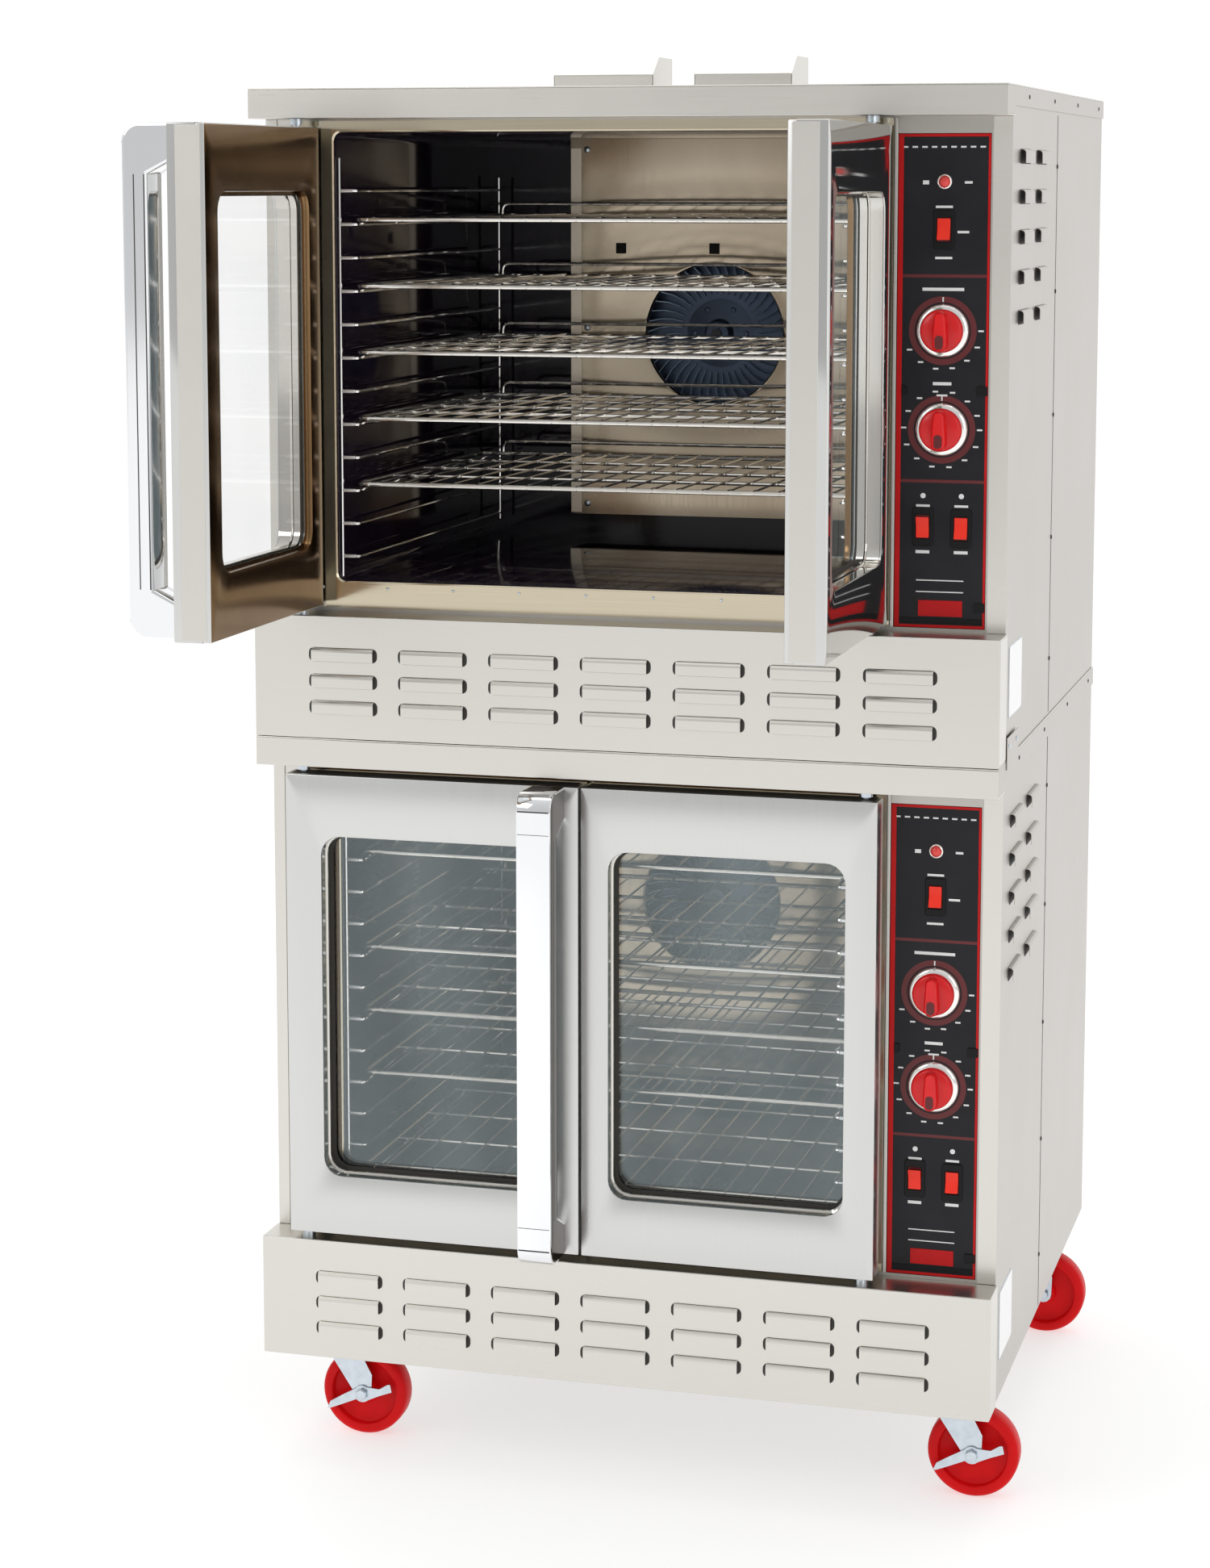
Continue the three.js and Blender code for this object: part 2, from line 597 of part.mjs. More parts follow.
// ---- Assembly -----------------------------------------------------------------------------
function addDeck(parent, name, z, doorAngle) {
  const deck = new THREE.Group();
  deck.position.z = z;
  parent.add(deck);
  mesh(`${name}_cabinet_shell`, cabinetShell(), SATIN_STEEL, deck);
  mesh(`${name}_top_cap`, topCap(name === "upper"), SATIN_STEEL, deck);
  mesh(`${name}_louver_panel`, louverPanel(), SATIN_STEEL, deck);
  mesh(`${name}_oven_liner`, ovenLiner(), PORCELAIN, deck);
  mesh(`${name}_fan_baffle`, fanBaffle(), BRIGHT_STEEL, deck);
  mesh(`${name}_blower_wheel`, blowerWheel(), BLOWER_PAINT, deck);
  mesh(`${name}_fan_motor`, fanMotor(), MOTOR_GREY, deck);
  mesh(`${name}_left_rack_ladder`, rackLadder(-1), CHROME, deck);
  mesh(`${name}_right_rack_ladder`, rackLadder(1), CHROME, deck);
  RACK_RUNGS[name].forEach((rung, i) => {
    const rack = mesh(`${name}_rack_${i + 1}`, ovenRack(), CHROME, deck);
    rack.position.z = rungHeight(rung) + WIRE / 2 + GAP;
  });
  addControls(deck, name);
  addDoors(deck, name, doorAngle);
}

const oven = new THREE.Group();
addCasters(oven);
addDeck(oven, "lower", CASTER_HEIGHT, 0);
addDeck(oven, "upper", CASTER_HEIGHT + DECK_HEIGHT, OPEN_ANGLE);

// The origin is the centre of the footprint, on the floor.
oven.updateMatrixWorld(true);
const extent = new THREE.Box3().setFromObject(oven, true);
const centre = extent.getCenter(new THREE.Vector3());
oven.position.set(-centre.x, -centre.y, -extent.min.z);

export default oven;
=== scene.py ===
"""A double-deck commercial convection oven: the looks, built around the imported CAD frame."""
import json
from math import cos, dist, pi, radians, sin

import bmesh
import bpy
from mathutils import Matrix, Vector


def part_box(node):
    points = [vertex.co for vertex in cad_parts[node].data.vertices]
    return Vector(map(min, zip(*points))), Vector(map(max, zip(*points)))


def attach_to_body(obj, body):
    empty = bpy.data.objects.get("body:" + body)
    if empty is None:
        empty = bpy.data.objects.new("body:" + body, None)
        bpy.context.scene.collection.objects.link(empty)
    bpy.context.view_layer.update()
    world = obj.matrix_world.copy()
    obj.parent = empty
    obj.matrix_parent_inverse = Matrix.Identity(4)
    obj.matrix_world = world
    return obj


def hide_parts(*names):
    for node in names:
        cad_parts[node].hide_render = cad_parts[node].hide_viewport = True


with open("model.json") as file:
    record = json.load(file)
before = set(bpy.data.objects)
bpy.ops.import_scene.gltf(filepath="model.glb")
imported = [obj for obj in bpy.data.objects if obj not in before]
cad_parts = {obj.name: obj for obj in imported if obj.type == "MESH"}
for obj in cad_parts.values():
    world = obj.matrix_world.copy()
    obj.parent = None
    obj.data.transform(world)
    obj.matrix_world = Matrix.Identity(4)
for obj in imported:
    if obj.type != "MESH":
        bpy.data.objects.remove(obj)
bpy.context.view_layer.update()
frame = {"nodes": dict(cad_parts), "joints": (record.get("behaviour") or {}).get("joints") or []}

MM = 0.001
BODY = "cabinet"
NODES = frame["nodes"]
JOINTS = {joint["name"]: joint for joint in frame["joints"]}
scene = bpy.context.scene

# ---- Driving sizes, in millimetres in a deck's own axes ----
SHEET = 2.0
BOW = 60.0  # how far the louvered panel and the cap stand out in front of the cabinet
CAP_Z = 830.0  # underside of the cap
LID_Z = 869.7
FLANGE = 27.0
LEDGE_Z = 167.0
MOUTH = (-467.0, 352.0, 172.0, 828.0)  # outline of the frame round the oven's mouth
CAVITY = (-408.0, 329.0, 209.0, 812.0)
BACK_WALL = 690.0
INLET = 105.0  # radius of the round hole in the baffle
SENSOR_HOLES = (-145.0, 0.0)  # centres, from the blower's axis
RUNGS, RUNG_TOP, RUNG_PITCH = 12, 735.0, 44.9
REAR_POST = (230.0, 755.0)  # foot and top of the ladders' rear posts
DOOR_FACE, DOOR_BACK, SKIN_BACK = -57.0, -7.0, -19.0
WINDOW_RADIUS = 26.0
CORNER_STEPS = 6
PANEL_FACE = 1.5
KNOB_X = 418.0
SWITCH_X = (395.0, 445.0)  # the two lower rockers
KNOB_Z = {"timer": 557.0, "thermostat": 430.0}
ROCKERS = [  # name, x, z, and which end is pressed in
    ("power_rocker", 418.0, 686.0, -1),
    ("light_rocker", SWITCH_X[0], 304.0, 1),
    ("fan_rocker", SWITCH_X[1], 302.0, -1),
]


# ---- Mesh toolkit ----
class Sketch:
    """Collects vertices and faces, and turns them into one object."""

    def __init__(self):
        self.points = []
        self.faces = []

    def loft(self, loops, close=False, capped=False):
        """Joins loops that have the same number of points. close joins the last to the first."""
        start = len(self.points)
        count = len(loops[0])
        for loop in loops:
            self.points.extend(tuple(point) for point in loop)
        rows = len(loops)
        for row in range(rows if close else rows - 1):
            a = start + row * count
            b = start + ((row + 1) % rows) * count
            for i in range(count):
                j = (i + 1) % count
                self.faces.append((a + i, a + j, b + j, b + i))
        if capped:
            self.faces.append(tuple(start + i for i in reversed(range(count))))
            self.faces.append(tuple(start + (rows - 1) * count + i for i in range(count)))
        return self

    def slab(self, near, far):
        """A solid between two outlines that have the same number of points."""
        return self.loft([near, far], capped=True)

    def prism(self, outline, axis, start, end):
        """An outline of (y, z) pairs pushed along X, or of (x, z) pairs pushed along Y."""
        if axis == "X":
            return self.slab(*([(at, y, z) for y, z in outline] for at in (start, end)))
        return self.slab(*([(x, at, z) for x, z in outline] for at in (start, end)))

    def sheet(self, rows):
        """An open grid of points: rows of equal length."""
        start = len(self.points)
        width = len(rows[0])
        for row in rows:
            self.points.extend(tuple(point) for point in row)
        for r in range(len(rows) - 1):
            for c in range(width - 1):
                a = start + r * width + c
                self.faces.append((a, a + 1, a + width + 1, a + width))
        return self

    def box(self, x0, x1, y0, y1, z0, z1):
        low = [(x0, y0, z0), (x1, y0, z0), (x1, y1, z0), (x0, y1, z0)]
        return self.slab(low, [(x, y, z1) for x, y, _ in low])

    def lathe(self, centre, axis, profile, segments, close=False):
        """Turns (radius, along) pairs about an axis, X, Y or Z, through centre."""
        loops = []
        for radius, along in profile:
            loop = []
            for turn in circle_angles(segments):
                u, v = radius * cos(turn), radius * sin(turn)
                offset = {"X": (along, u, v), "Y": (v, along, u), "Z": (u, v, along)}[axis]
                loop.append([c + o for c, o in zip(centre, offset)])
            loops.append(loop)
        return self.loft(loops, close, not close)

    def ring(self, centre, axis, profile, segments):
        """As lathe, for a closed section that keeps clear of the axis."""
        return self.lathe(centre, axis, profile, segments, close=True)

    def rod(self, path, radius, sides=8):
        """A round wire along a path, with slightly domed ends."""
        path = [Vector(p) for p in path]
        tangent = (path[1] - path[0]).normalized()
        side = tangent.orthogonal().normalized()
        loops = []
        for i, point in enumerate(path):
            ahead = path[min(i + 1, len(path) - 1)] - path[max(i - 1, 0)]
            turn = tangent.rotation_difference(ahead.normalized())
            side = (turn @ side).normalized()
            tangent = ahead.normalized()
            across = tangent.cross(side)
            ring = [side * cos(a) + across * sin(a) for a in circle_angles(sides)]
            if i == 0:
                loops.append([point + r * radius * 0.6 for r in ring])
                point = point + tangent * radius * 0.4
            if i == len(path) - 1:
                loops.append([point - tangent * radius * 0.4 + r * radius for r in ring])
                loops.append([point + r * radius * 0.6 for r in ring])
                continue
            loops.append([point + r * radius for r in ring])
        return self.loft(loops, capped=True)

    def build(self, name, material, place, body, bevel=0.0, smooth=35, replaces=()):
        """Makes the object, in metres, at a place, riding on a body."""
        mesh = bpy.data.meshes.new(name)
        mesh.from_pydata([[c * MM for c in p] for p in self.points], [], self.faces)
        mesh.update()
        obj = bpy.data.objects.new(name, mesh)
        scene.collection.objects.link(obj)
        obj.matrix_world = place
        fix_normals(mesh)
        mesh.materials.append(material)
        for polygon in mesh.polygons:
            polygon.use_smooth = True
        mesh.set_sharp_from_angle(angle=radians(smooth))
        if bevel:
            add_bevel(obj, bevel)
        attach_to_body(obj, body)
        if replaces:
            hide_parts(*replaces)
        return obj


def circle_angles(count):
    return [2 * pi * i / count for i in range(count)]


def fix_normals(mesh):
    work = bmesh.new()
    work.from_mesh(mesh)
    bmesh.ops.recalc_face_normals(work, faces=work.faces)
    work.to_mesh(mesh)
    work.free()


def add_bevel(obj, width):
    bevel = obj.modifiers.new("edges", "BEVEL")
    bevel.width = width * MM
    bevel.segments = 2
    bevel.limit_method = "ANGLE"
    bevel.angle_limit = radians(40)
    bevel.harden_normals = True


def thicken(obj, thickness):
    """Gives a sheet its thickness, flat-shaded so that its rims don't round off its faces."""
    obj.data.shade_flat()
    solidify = obj.modifiers.new("thickness", "SOLIDIFY")
    solidify.thickness = thickness * MM
    solidify.offset = -1


def rounded_loop(x0, x1, z0, z1, radius, y, steps=CORNER_STEPS):
    """A rounded rectangle seen from the front, at depth y."""
    radius = max(radius, 0.01)
    corners = [
        (x1 - radius, z0 + radius, -90),
        (x1 - radius, z1 - radius, 0),
        (x0 + radius, z1 - radius, 90),
        (x0 + radius, z0 + radius, 180),
    ]
    loop = []
    for cx, cz, start in corners:
        for i in range(steps + 1):
            turn = radians(start + 90 * i / steps)
            loop.append((cx + radius * cos(turn), y, cz + radius * sin(turn)))
    return loop


def grown_loop(box, grow, radius, y):
    """The outline of x0, x1, z0, z1, grown all round."""
    x0, x1, z0, z1 = box
    return rounded_loop(x0 - grow, x1 + grow, z0 - grow, z1 + grow, radius, y)


def bend_path(points, radius):
    """Rounds the inner corners of a path of straight runs."""
    steps = 5
    points = [Vector(p) for p in points]
    path = [points[0]]
    for before, corner, after in zip(points, points[1:], points[2:]):
        into = (corner - before).normalized()
        out = (after - corner).normalized()
        start, end = corner - into * radius, corner + out * radius
        for i in range(steps + 1):
            t = i / steps
            path.append((1 - t) ** 2 * start + 2 * t * (1 - t) * corner + t * t * end)
    path.append(points[-1])
    return path


def arc(cx, cy, radius, start, end, count):
    """Points on a circle from start to end, in degrees."""
    points = []
    for i in range(count):
        turn = radians(start + (end - start) * i / (count - 1))
        points.append((cx + radius * cos(turn), cy + radius * sin(turn)))
    return points


# ---- Materials ----
class Nodes:
    """A material's node tree, written as calls."""

    def __init__(self, name):
        self.material = bpy.data.materials.new(name)
        self.material.use_nodes = True
        self.tree = self.material.node_tree
        self.shader = self.tree.nodes["Principled BSDF"]

    def add(self, kind, settings=None, **inputs):
        node = self.tree.nodes.new(kind)
        for key, value in (settings or {}).items():
            setattr(node, key, value)
        for key, value in inputs.items():
            self.connect(value, node.inputs[key.replace("_", " ")])
        return node

    def connect(self, value, socket):
        if isinstance(value, bpy.types.NodeSocket):
            self.tree.links.new(value, socket)
        else:
            socket.default_value = value

    def shade(self, **inputs):
        for key, value in inputs.items():
            self.connect(value, self.shader.inputs[key.replace("_", " ")])

    def object_coords(self, scale=(1, 1, 1), turn=0.0):
        coords = self.add("ShaderNodeTexCoord").outputs["Object"]
        mapping = self.add("ShaderNodeMapping", Vector=coords, Scale=scale, Rotation=(0, turn, 0))
        return mapping.outputs["Vector"]

    def noise(self, vector, scale, detail):
        node = self.add("ShaderNodeTexNoise", Vector=vector, Scale=scale, Detail=detail, Roughness=0.55)
        return node.outputs["Fac"]

    def ramp(self, fac, stops):
        """Maps a factor to colours: stops are (position, (r, g, b))."""
        node = self.add("ShaderNodeValToRGB", Fac=fac)
        elements = node.color_ramp.elements
        while len(elements) < len(stops):
            elements.new(0.5)
        for element, (position, colour) in zip(elements, stops):
            element.position = position
            element.color = (*colour, 1)
        return node.outputs["Color"]

    def spread(self, fac, low, high):
        """Maps a factor from 0..1 to low..high."""
        node = self.add("ShaderNodeMapRange", Value=fac, To_Min=low, To_Max=high)
        return node.outputs["Result"]

    def bump(self, height, strength, distance):
        node = self.add("ShaderNodeBump", Height=height, Strength=strength, Distance=distance)
        return node.outputs["Normal"]

    def mix(self, a, b, share):
        node = self.add("ShaderNodeMix", {"data_type": "FLOAT"})
        self.connect(share, node.inputs[0])
        self.connect(a, node.inputs[2])
        self.connect(b, node.inputs[3])
        return node.outputs[0]


def shades(colour, spread):
    """A darker and a lighter version of a colour."""
    return [tuple(min(1.0, c * f) for c in colour) for f in (1 - spread, 1 + spread)]


# Which way a metal's grain runs
ALONG_X, ALONG_Z, EVEN, WIRE = (6, 500, 500), (500, 500, 6), (90, 90, 90), (60, 60, 60)


def metal(name, colour, roughness, grain=EVEN, bump=0.03, drift=0.03):
    """Steel with a fine one-way grain, faint smudges and a little colour drift."""
    m = Nodes(name)
    lines = m.noise(m.object_coords(grain), 1.0, 2.0)
    smudge = m.noise(m.object_coords(), 5.0, 4.0)
    both = m.mix(lines, smudge, 0.5)
    dark, light = shades(colour, drift)
    m.shade(
        Base_Color=m.ramp(both, [(0.3, dark), (0.7, light)]),
        Roughness=m.spread(both, roughness * 0.7, roughness * 1.3),
        Normal=m.bump(lines, bump, 0.0004),
        Metallic=1.0,
    )
    return m.material


def brown_clouded_metal(name, colour, deeper, roughness):
    """Polished steel tinted brown, a deeper brown in soft clouds."""
    m = Nodes(name)
    cloud = m.noise(m.object_coords((1, 1, 0.6)), 3.2, 3.0)
    streak = m.noise(m.object_coords(ALONG_Z), 1.0, 2.0)
    m.shade(
        Base_Color=m.ramp(cloud, [(0.3, deeper), (0.72, colour)]),
        Roughness=m.spread(streak, roughness * 0.7, roughness * 1.3),
        Normal=m.bump(streak, 0.012, 0.0003),
        Metallic=1.0,
    )
    return m.material


def enamel(name, colour, roughness, coat=0.0, drift=0.12, metallic=0.0, peel=0.05, gloss=0.5):
    """Paint, porcelain or moulded plastic with an orange-peel surface and slight wear."""
    m = Nodes(name)
    grain = m.noise(m.object_coords(), 420.0, 2.0)
    blotch = m.noise(m.object_coords(), 14.0, 4.0)
    dark, light = shades(colour, drift)
    m.shade(
        Base_Color=m.ramp(blotch, [(0.3, dark), (0.7, light)]),
        Roughness=m.spread(blotch, roughness * 0.8, roughness * 1.25),
        Normal=m.bump(grain, peel, 0.0003),
        Metallic=metallic,
        Coat_Weight=coat,
        Coat_Roughness=0.06,
        Specular_IOR_Level=gloss,
    )
    return m.material


def glass(name, colour, alpha):
    """Door glass with a reflecting coat: partly a cool mirror and partly seen through."""
    m = Nodes(name)
    # The diagonal streaks lighten the glass's colour and opacity a little: painted reflection bands.
    streak = m.noise(m.object_coords((3, 1, 0.8), turn=0.7), 2.2, 1.0)
    dark, light = shades(colour, 0.06)
    m.shade(
        Base_Color=m.ramp(streak, [(0.35, dark), (0.65, light)]),
        Alpha=m.spread(streak, alpha - 0.03, alpha + 0.03),
        Roughness=0.03,
        Metallic=1.0,
    )
    m.material.surface_render_method = "BLENDED"
    return m.material


def ink(name, colour, roughness=0.4):
    """Screen-printed ink, slightly worn; the dark red one is also laid as painted shade and painted
    reflection.
    """
    m = Nodes(name)
    wear = m.noise(m.object_coords(), 900.0, 3.0)
    dark, light = shades(colour, 0.08)
    m.shade(Base_Color=m.ramp(wear, [(0.35, dark), (0.6, light)]), Roughness=roughness)
    return m.material


STEEL = metal("satin_steel", (0.70, 0.68, 0.635), 0.30, ALONG_X, drift=0.02)
SIDE_STEEL = metal("side_steel", (0.50, 0.475, 0.44), 0.32, ALONG_Z, drift=0.02)
DOOR_STEEL = metal("door_steel", (0.63, 0.63, 0.615), 0.08, ALONG_Z, bump=0.01, drift=0.012)
DOOR_SATIN = metal("door_satin_steel", (0.66, 0.66, 0.645), 0.30, ALONG_Z, bump=0.01, drift=0.012)
# Warm yellow-brown base colour: painted warm reflection on the polished frame round the oven's mouth.
MOUTH_STEEL = metal("mouth_steel", (0.60, 0.53, 0.40), 0.12, ALONG_X, drift=0.05)
REVEAL_STEEL = metal("reveal_steel", (0.66, 0.64, 0.60), 0.07, ALONG_Z, bump=0.01)
# The liner's brown base colour is a painted warm reflection, deeper in soft clouds.
LINER_STEEL = brown_clouded_metal("liner_steel", (0.31, 0.20, 0.105), (0.20, 0.11, 0.045), 0.20)
BAFFLE_STEEL = brown_clouded_metal("baffle_steel", (0.50, 0.43, 0.33), (0.36, 0.29, 0.21), 0.14)
# A much lighter copy of the baffle's steel for its flat-drawn fold: painted highlight where the bent fold
# catches light.
BAFFLE_FOLD_HIGHLIGHT = metal("baffle_fold_highlight", (0.86, 0.76, 0.62), 0.3, ALONG_Z)
HANDLE_STEEL = metal("handle_steel", (0.90, 0.91, 0.925), 0.09, ALONG_Z, bump=0.01, drift=0.01)
# Near-black steel for the lower handle's cheeks: painted shade and painted dark reflection on the handle's
# side; the same cheeks on the upper deck use the bright handle steel.
CHEEK_SHADE_STEEL = metal("handle_cheek_painted_shade", (0.12, 0.105, 0.095), 0.16, ALONG_Z, drift=0.15)
CHROME = metal("chrome", (0.90, 0.885, 0.86), 0.10, WIRE, bump=0.02)
RACK_CHROME = metal("rack_chrome", (0.84, 0.81, 0.76), 0.16, WIRE, bump=0.02, drift=0.12)
BAR_CHROME = metal("bar_chrome", (0.95, 0.95, 0.96), 0.35, WIRE, bump=0.02)
ZINC = metal("zinc", (0.62, 0.68, 0.74), 0.24, bump=0.1, drift=0.12)
BLACKENED = enamel("blackened_screws", (0.012, 0.010, 0.008), 0.5, gloss=0.2)
PORCELAIN = enamel("porcelain", (0.012, 0.007, 0.015), 0.07, drift=0.35, peel=0.002)
BLOWER_PAINT = enamel("blower_paint", (0.085, 0.115, 0.18), 0.36, metallic=0.5)
# A lighter, more metallic copy of the blower's blue paint: painted highlights on the vanes.
VANE_HIGHLIGHT_PAINT = enamel("vane_highlight_paint", (0.34, 0.46, 0.58), 0.28, metallic=0.7)
MOTOR_PAINT = enamel("motor_paint", (0.10, 0.11, 0.12), 0.6)
CHARCOAL = enamel("charcoal", (0.014, 0.014, 0.017), 0.30, drift=0.2, gloss=0.2)
BLACK = enamel("black_plastic", (0.006, 0.006, 0.007), 0.35, gloss=0.2)
RED_TRIM = enamel("red_trim", (0.52, 0.006, 0.007), 0.35, gloss=0.2)
KNOB_RED = enamel("knob_red", (0.66, 0.004, 0.006), 0.20, coat=0.1, gloss=0.4)
ROCKER_RED = enamel("rocker_red", (0.88, 0.03, 0.012), 0.3, coat=0.1, gloss=0.3)
WHEEL_RED = enamel("wheel_red", (0.66, 0.003, 0.005), 0.38, gloss=0.15)
# Near-black plates for the shade inside openings: painted shade.
GAP_SHADE = enamel("painted_gap_shade", (0.006, 0.005, 0.004), 0.7)
SHADOW_SLOT = enamel("shadow_slot", (0.035, 0.032, 0.027), 0.6)
PRINT_WHITE = ink("print_white", (0.72, 0.73, 0.72))
# Dark red: printed bands on the panel, and also painted shade in the knob hollows and rocker wells, and
# painted reflection rings round the knobs.
PRINT_SHADE_REFLECTION_RED = ink("print_shade_reflection_red", (0.11, 0.006, 0.008))
PLATE_WHITE = ink("plate_white", (0.90, 0.90, 0.90), 0.3)
GLASS = glass("oven_glass", (0.70, 0.81, 0.83), 0.09)
LAMP_RED = enamel("lamp_red", (0.80, 0.03, 0.02), 0.12, coat=0.8)
SLOTS = {
    "satin_steel": (STEEL, SIDE_STEEL, DOOR_STEEL, DOOR_SATIN, PLATE_WHITE),
    "bright_steel": (
        MOUTH_STEEL, REVEAL_STEEL, LINER_STEEL, BAFFLE_STEEL, BAFFLE_FOLD_HIGHLIGHT, HANDLE_STEEL, CHEEK_SHADE_STEEL,
    ),
    "chrome_wire": (CHROME, RACK_CHROME, BAR_CHROME, PRINT_WHITE),
    "zinc": (ZINC, BLACKENED),
    "porcelain": (PORCELAIN,),
    "blower_paint": (BLOWER_PAINT, VANE_HIGHLIGHT_PAINT),
    "motor_grey": (MOTOR_PAINT, GAP_SHADE, SHADOW_SLOT),
    "control_face": (CHARCOAL, BLACK),
    "rocker_red": (RED_TRIM, ROCKER_RED, PRINT_SHADE_REFLECTION_RED, LAMP_RED),
    "knob_red": (KNOB_RED,),
    "wheel_red": (WHEEL_RED,),
    "oven_glass": (GLASS,),
}
SLOT_OF = {material.name: slot for slot, group in SLOTS.items() for material in group}


# ---- Places, from the frame ----
class Deck:
    """One of the two stacked ovens: its axes start at the front of its floor, on its centre line."""

    def __init__(self, name):
        self.name = name
        low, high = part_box(f"{name}_cabinet_shell")
        self.origin = Vector(((low.x + high.x) / 2, low.y, low.z))
        self.place = Matrix.Translation(self.origin)
        self.half_width = (high.x - low.x) / 2 / MM
        self.depth = (high.y - low.y) / MM

    def box(self, node):
        """A node's box in this deck's millimetres: x0, x1, y0, y1, z0, z1."""
        low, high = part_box(f"{self.name}_{node}")
        low, high = (low - self.origin) / MM, (high - self.origin) / MM
        return low.x, high.x, low.y, high.y, low.z, high.z

    def axis(self, joint):
        """A point on a joint's axis, in this deck's millimetres."""
        return (Vector(JOINTS[f"{self.name}_{joint}"]["pos_m"]) - self.origin) / MM

    def door_place(self, side):
        """Where a door's closed-position drawing goes: closed below, open a quarter turn above."""
        hinge = JOINTS[f"{self.name}_{side}_door_hinge"]
        pin = Vector(hinge["pos_m"]) - self.origin
        opened = -hinge["range_deg"][0] * (-1 if side == "left" else 1)
        swing = Matrix.Rotation(radians(opened), 4, "Z")
        return self.place @ Matrix.Translation(pin) @ swing @ Matrix.Translation(-pin)

    def build(self, sketch, name, material, rides=None, place=None, replaces=(), **options):
        """Builds a piece of this deck, which is fixed unless rides names a moving body."""
        body = f"{self.name}_{rides}" if rides else BODY
        nodes = [f"{self.name}_{node}" for node in replaces]
        name = f"{self.name}_{name}"
        return sketch.build(name, material, place or self.place, body, replaces=nodes, **options)


DECKS = [Deck("lower"), Deck("upper")]


# ---- Cabinet ----
def screw_head(sketch, centre, axis, radius, height):
    """A pan-head screw; height is signed along the axis."""
    shape = ((1, 0), (1, 0.35), (0.75, 0.85), (0.3, 1))
    sketch.lathe(centre, axis, [(radius * across, height * along) for across, along in shape], 12)


def finish_cad_node(node, material, bevel):
    """Gives a CAD node its material, a weld of its split vertices and fine edge bevels."""
    node.data.materials.clear()
    node.data.materials.append(material)
    weld = node.modifiers.new("weld", "WELD")
    weld.merge_threshold = 0.00002
    add_bevel(node, bevel)


def louver(hoods, slots, start, top, size, put):
    """A lanced louver: a hood that steps out to a flat face over a dark slot, open at both ends."""
    length, height, stand = size
    end = 0.05 * length
    profile = [(top, 0.1)]
    for down, out in ((0.04, 0.6), (0.16, 0.93), (0.3, 1), (0.36, 1), (1, 1)):
        profile.append((top - down * height, out * stand))
    ends = (start + end, start + length - end)
    hoods.sheet([[put(along, up, out) for along in ends] for up, out in profile])
    outline = rounded_loop(start, start + length, top - height - 1, top + 0.3, 7, 0, 4)
    slots.slab([put(u, v, 0.02) for u, _, v in outline], [put(u, v, 0.3) for u, _, v in outline])


def louvers(deck, name, material, starts, tops, size, sheet, put):
    """Columns and rows of louvers of one size (length, height, stand) and sheet thickness."""
    hoods = Sketch()
    slots = Sketch()
    for start in starts:
        for top in tops:
            louver(hoods, slots, start, top, size, put)
    thicken(deck.build(hoods, f"{name}louvers", material, smooth=8), sheet)
    deck.build(slots, f"{name}louver_slots", SHADOW_SLOT)


def dress_shell(deck):
    """The shell keeps its CAD mesh; seams, louvers, a blank plate, screws and posts are added to it."""
    finish_cad_node(NODES[f"{deck.name}_cabinet_shell"], SIDE_STEEL, 0.5)
    for name, side in (("left", -1), ("right", 1)):
        wall = deck.half_width * side
        seam = Sketch().box(*sorted((wall - 0.2 * side, wall + 0.3 * side)), 409, 411.2, 4, 838)
        deck.build(seam, f"{name}_seam", SHADOW_SLOT)
        screws = Sketch()
        for row in range(5):
            screw_head(screws, (wall, 410, 80 + row * 172), "X", 3.4, 1.4 * side)
        for column in range(4):
            screw_head(screws, (wall + 2.3 * side, 120 + column * 240, 856), "X", 3.0, 0.9 * side)
        deck.build(screws, f"{name}_side_screws", BLACKENED)
    side_louvers(deck)
    side_plate(deck)
    posts(deck)


def side_louvers(deck):
    """Two columns of five louvers on the control side."""
    starts, tops = (62, 212), [789 - 51.8 * row for row in range(5)]

    def put(y, z, out):
        return deck.half_width + out, y, z

    louvers(deck, "side_", SIDE_STEEL, starts, tops, (95, 18, 7), 0.6, put)


def side_plate(deck):
    """A blank rating plate, low on the control side, and the bracket that ties the decks together."""
    wall = deck.half_width
    for name, material, inset, radius, stand in (
        ("rating_plate_edge", ZINC, 0, 5, 0.5),
        ("rating_plate", PLATE_WHITE, 1.5, 4, 1),
    ):
        loop = rounded_loop(30 + inset, 140 - inset, 52 + inset, 147 - inset, radius, 0, 3)
        plate = Sketch().prism([(y, z) for y, _, z in loop], "X", wall, wall + stand)
        deck.build(plate, name, material)
    if deck.name == "lower":
        bracket = Sketch().box(wall + 2.4, wall + 3.9, 4, 100, 858, 900)
        deck.build(bracket, "stacking_bracket", SIDE_STEEL, bevel=0.5)
        screws = Sketch()
        for y in (20, 84):
            screw_head(screws, (wall + 3.8, y, 888), "X", 4.0, 1.6)
        deck.build(screws, "stacking_screws", ZINC)


def posts(deck):
    """Folded front edges of the side panels, beside the doors and beside the control panel."""
    low, high = LEDGE_Z + 0.5, CAP_Z - 0.5
    left = Sketch().box(-deck.half_width, -489.5, -1.2, 0.2, low, high)
    left.box(-488.3, -469, -0.8, 0.2, low, high)
    deck.build(left, "left_post", STEEL, bevel=0.4)
    right = Sketch().box(480.5, deck.half_width, -1.2, 0.2, low, high)
    deck.build(right, "right_post", STEEL, bevel=0.4)
    filler = Sketch().box(353.6, 357.9, -1.6, -0.4, *MOUTH[2:])
    deck.build(filler, "mullion_strip", STEEL, bevel=0.2)
    gap = Sketch().box(352.3, 358.2, -0.4, 0.2, *MOUTH[2:])
    deck.build(gap, "mullion_gap", SHADOW_SLOT)


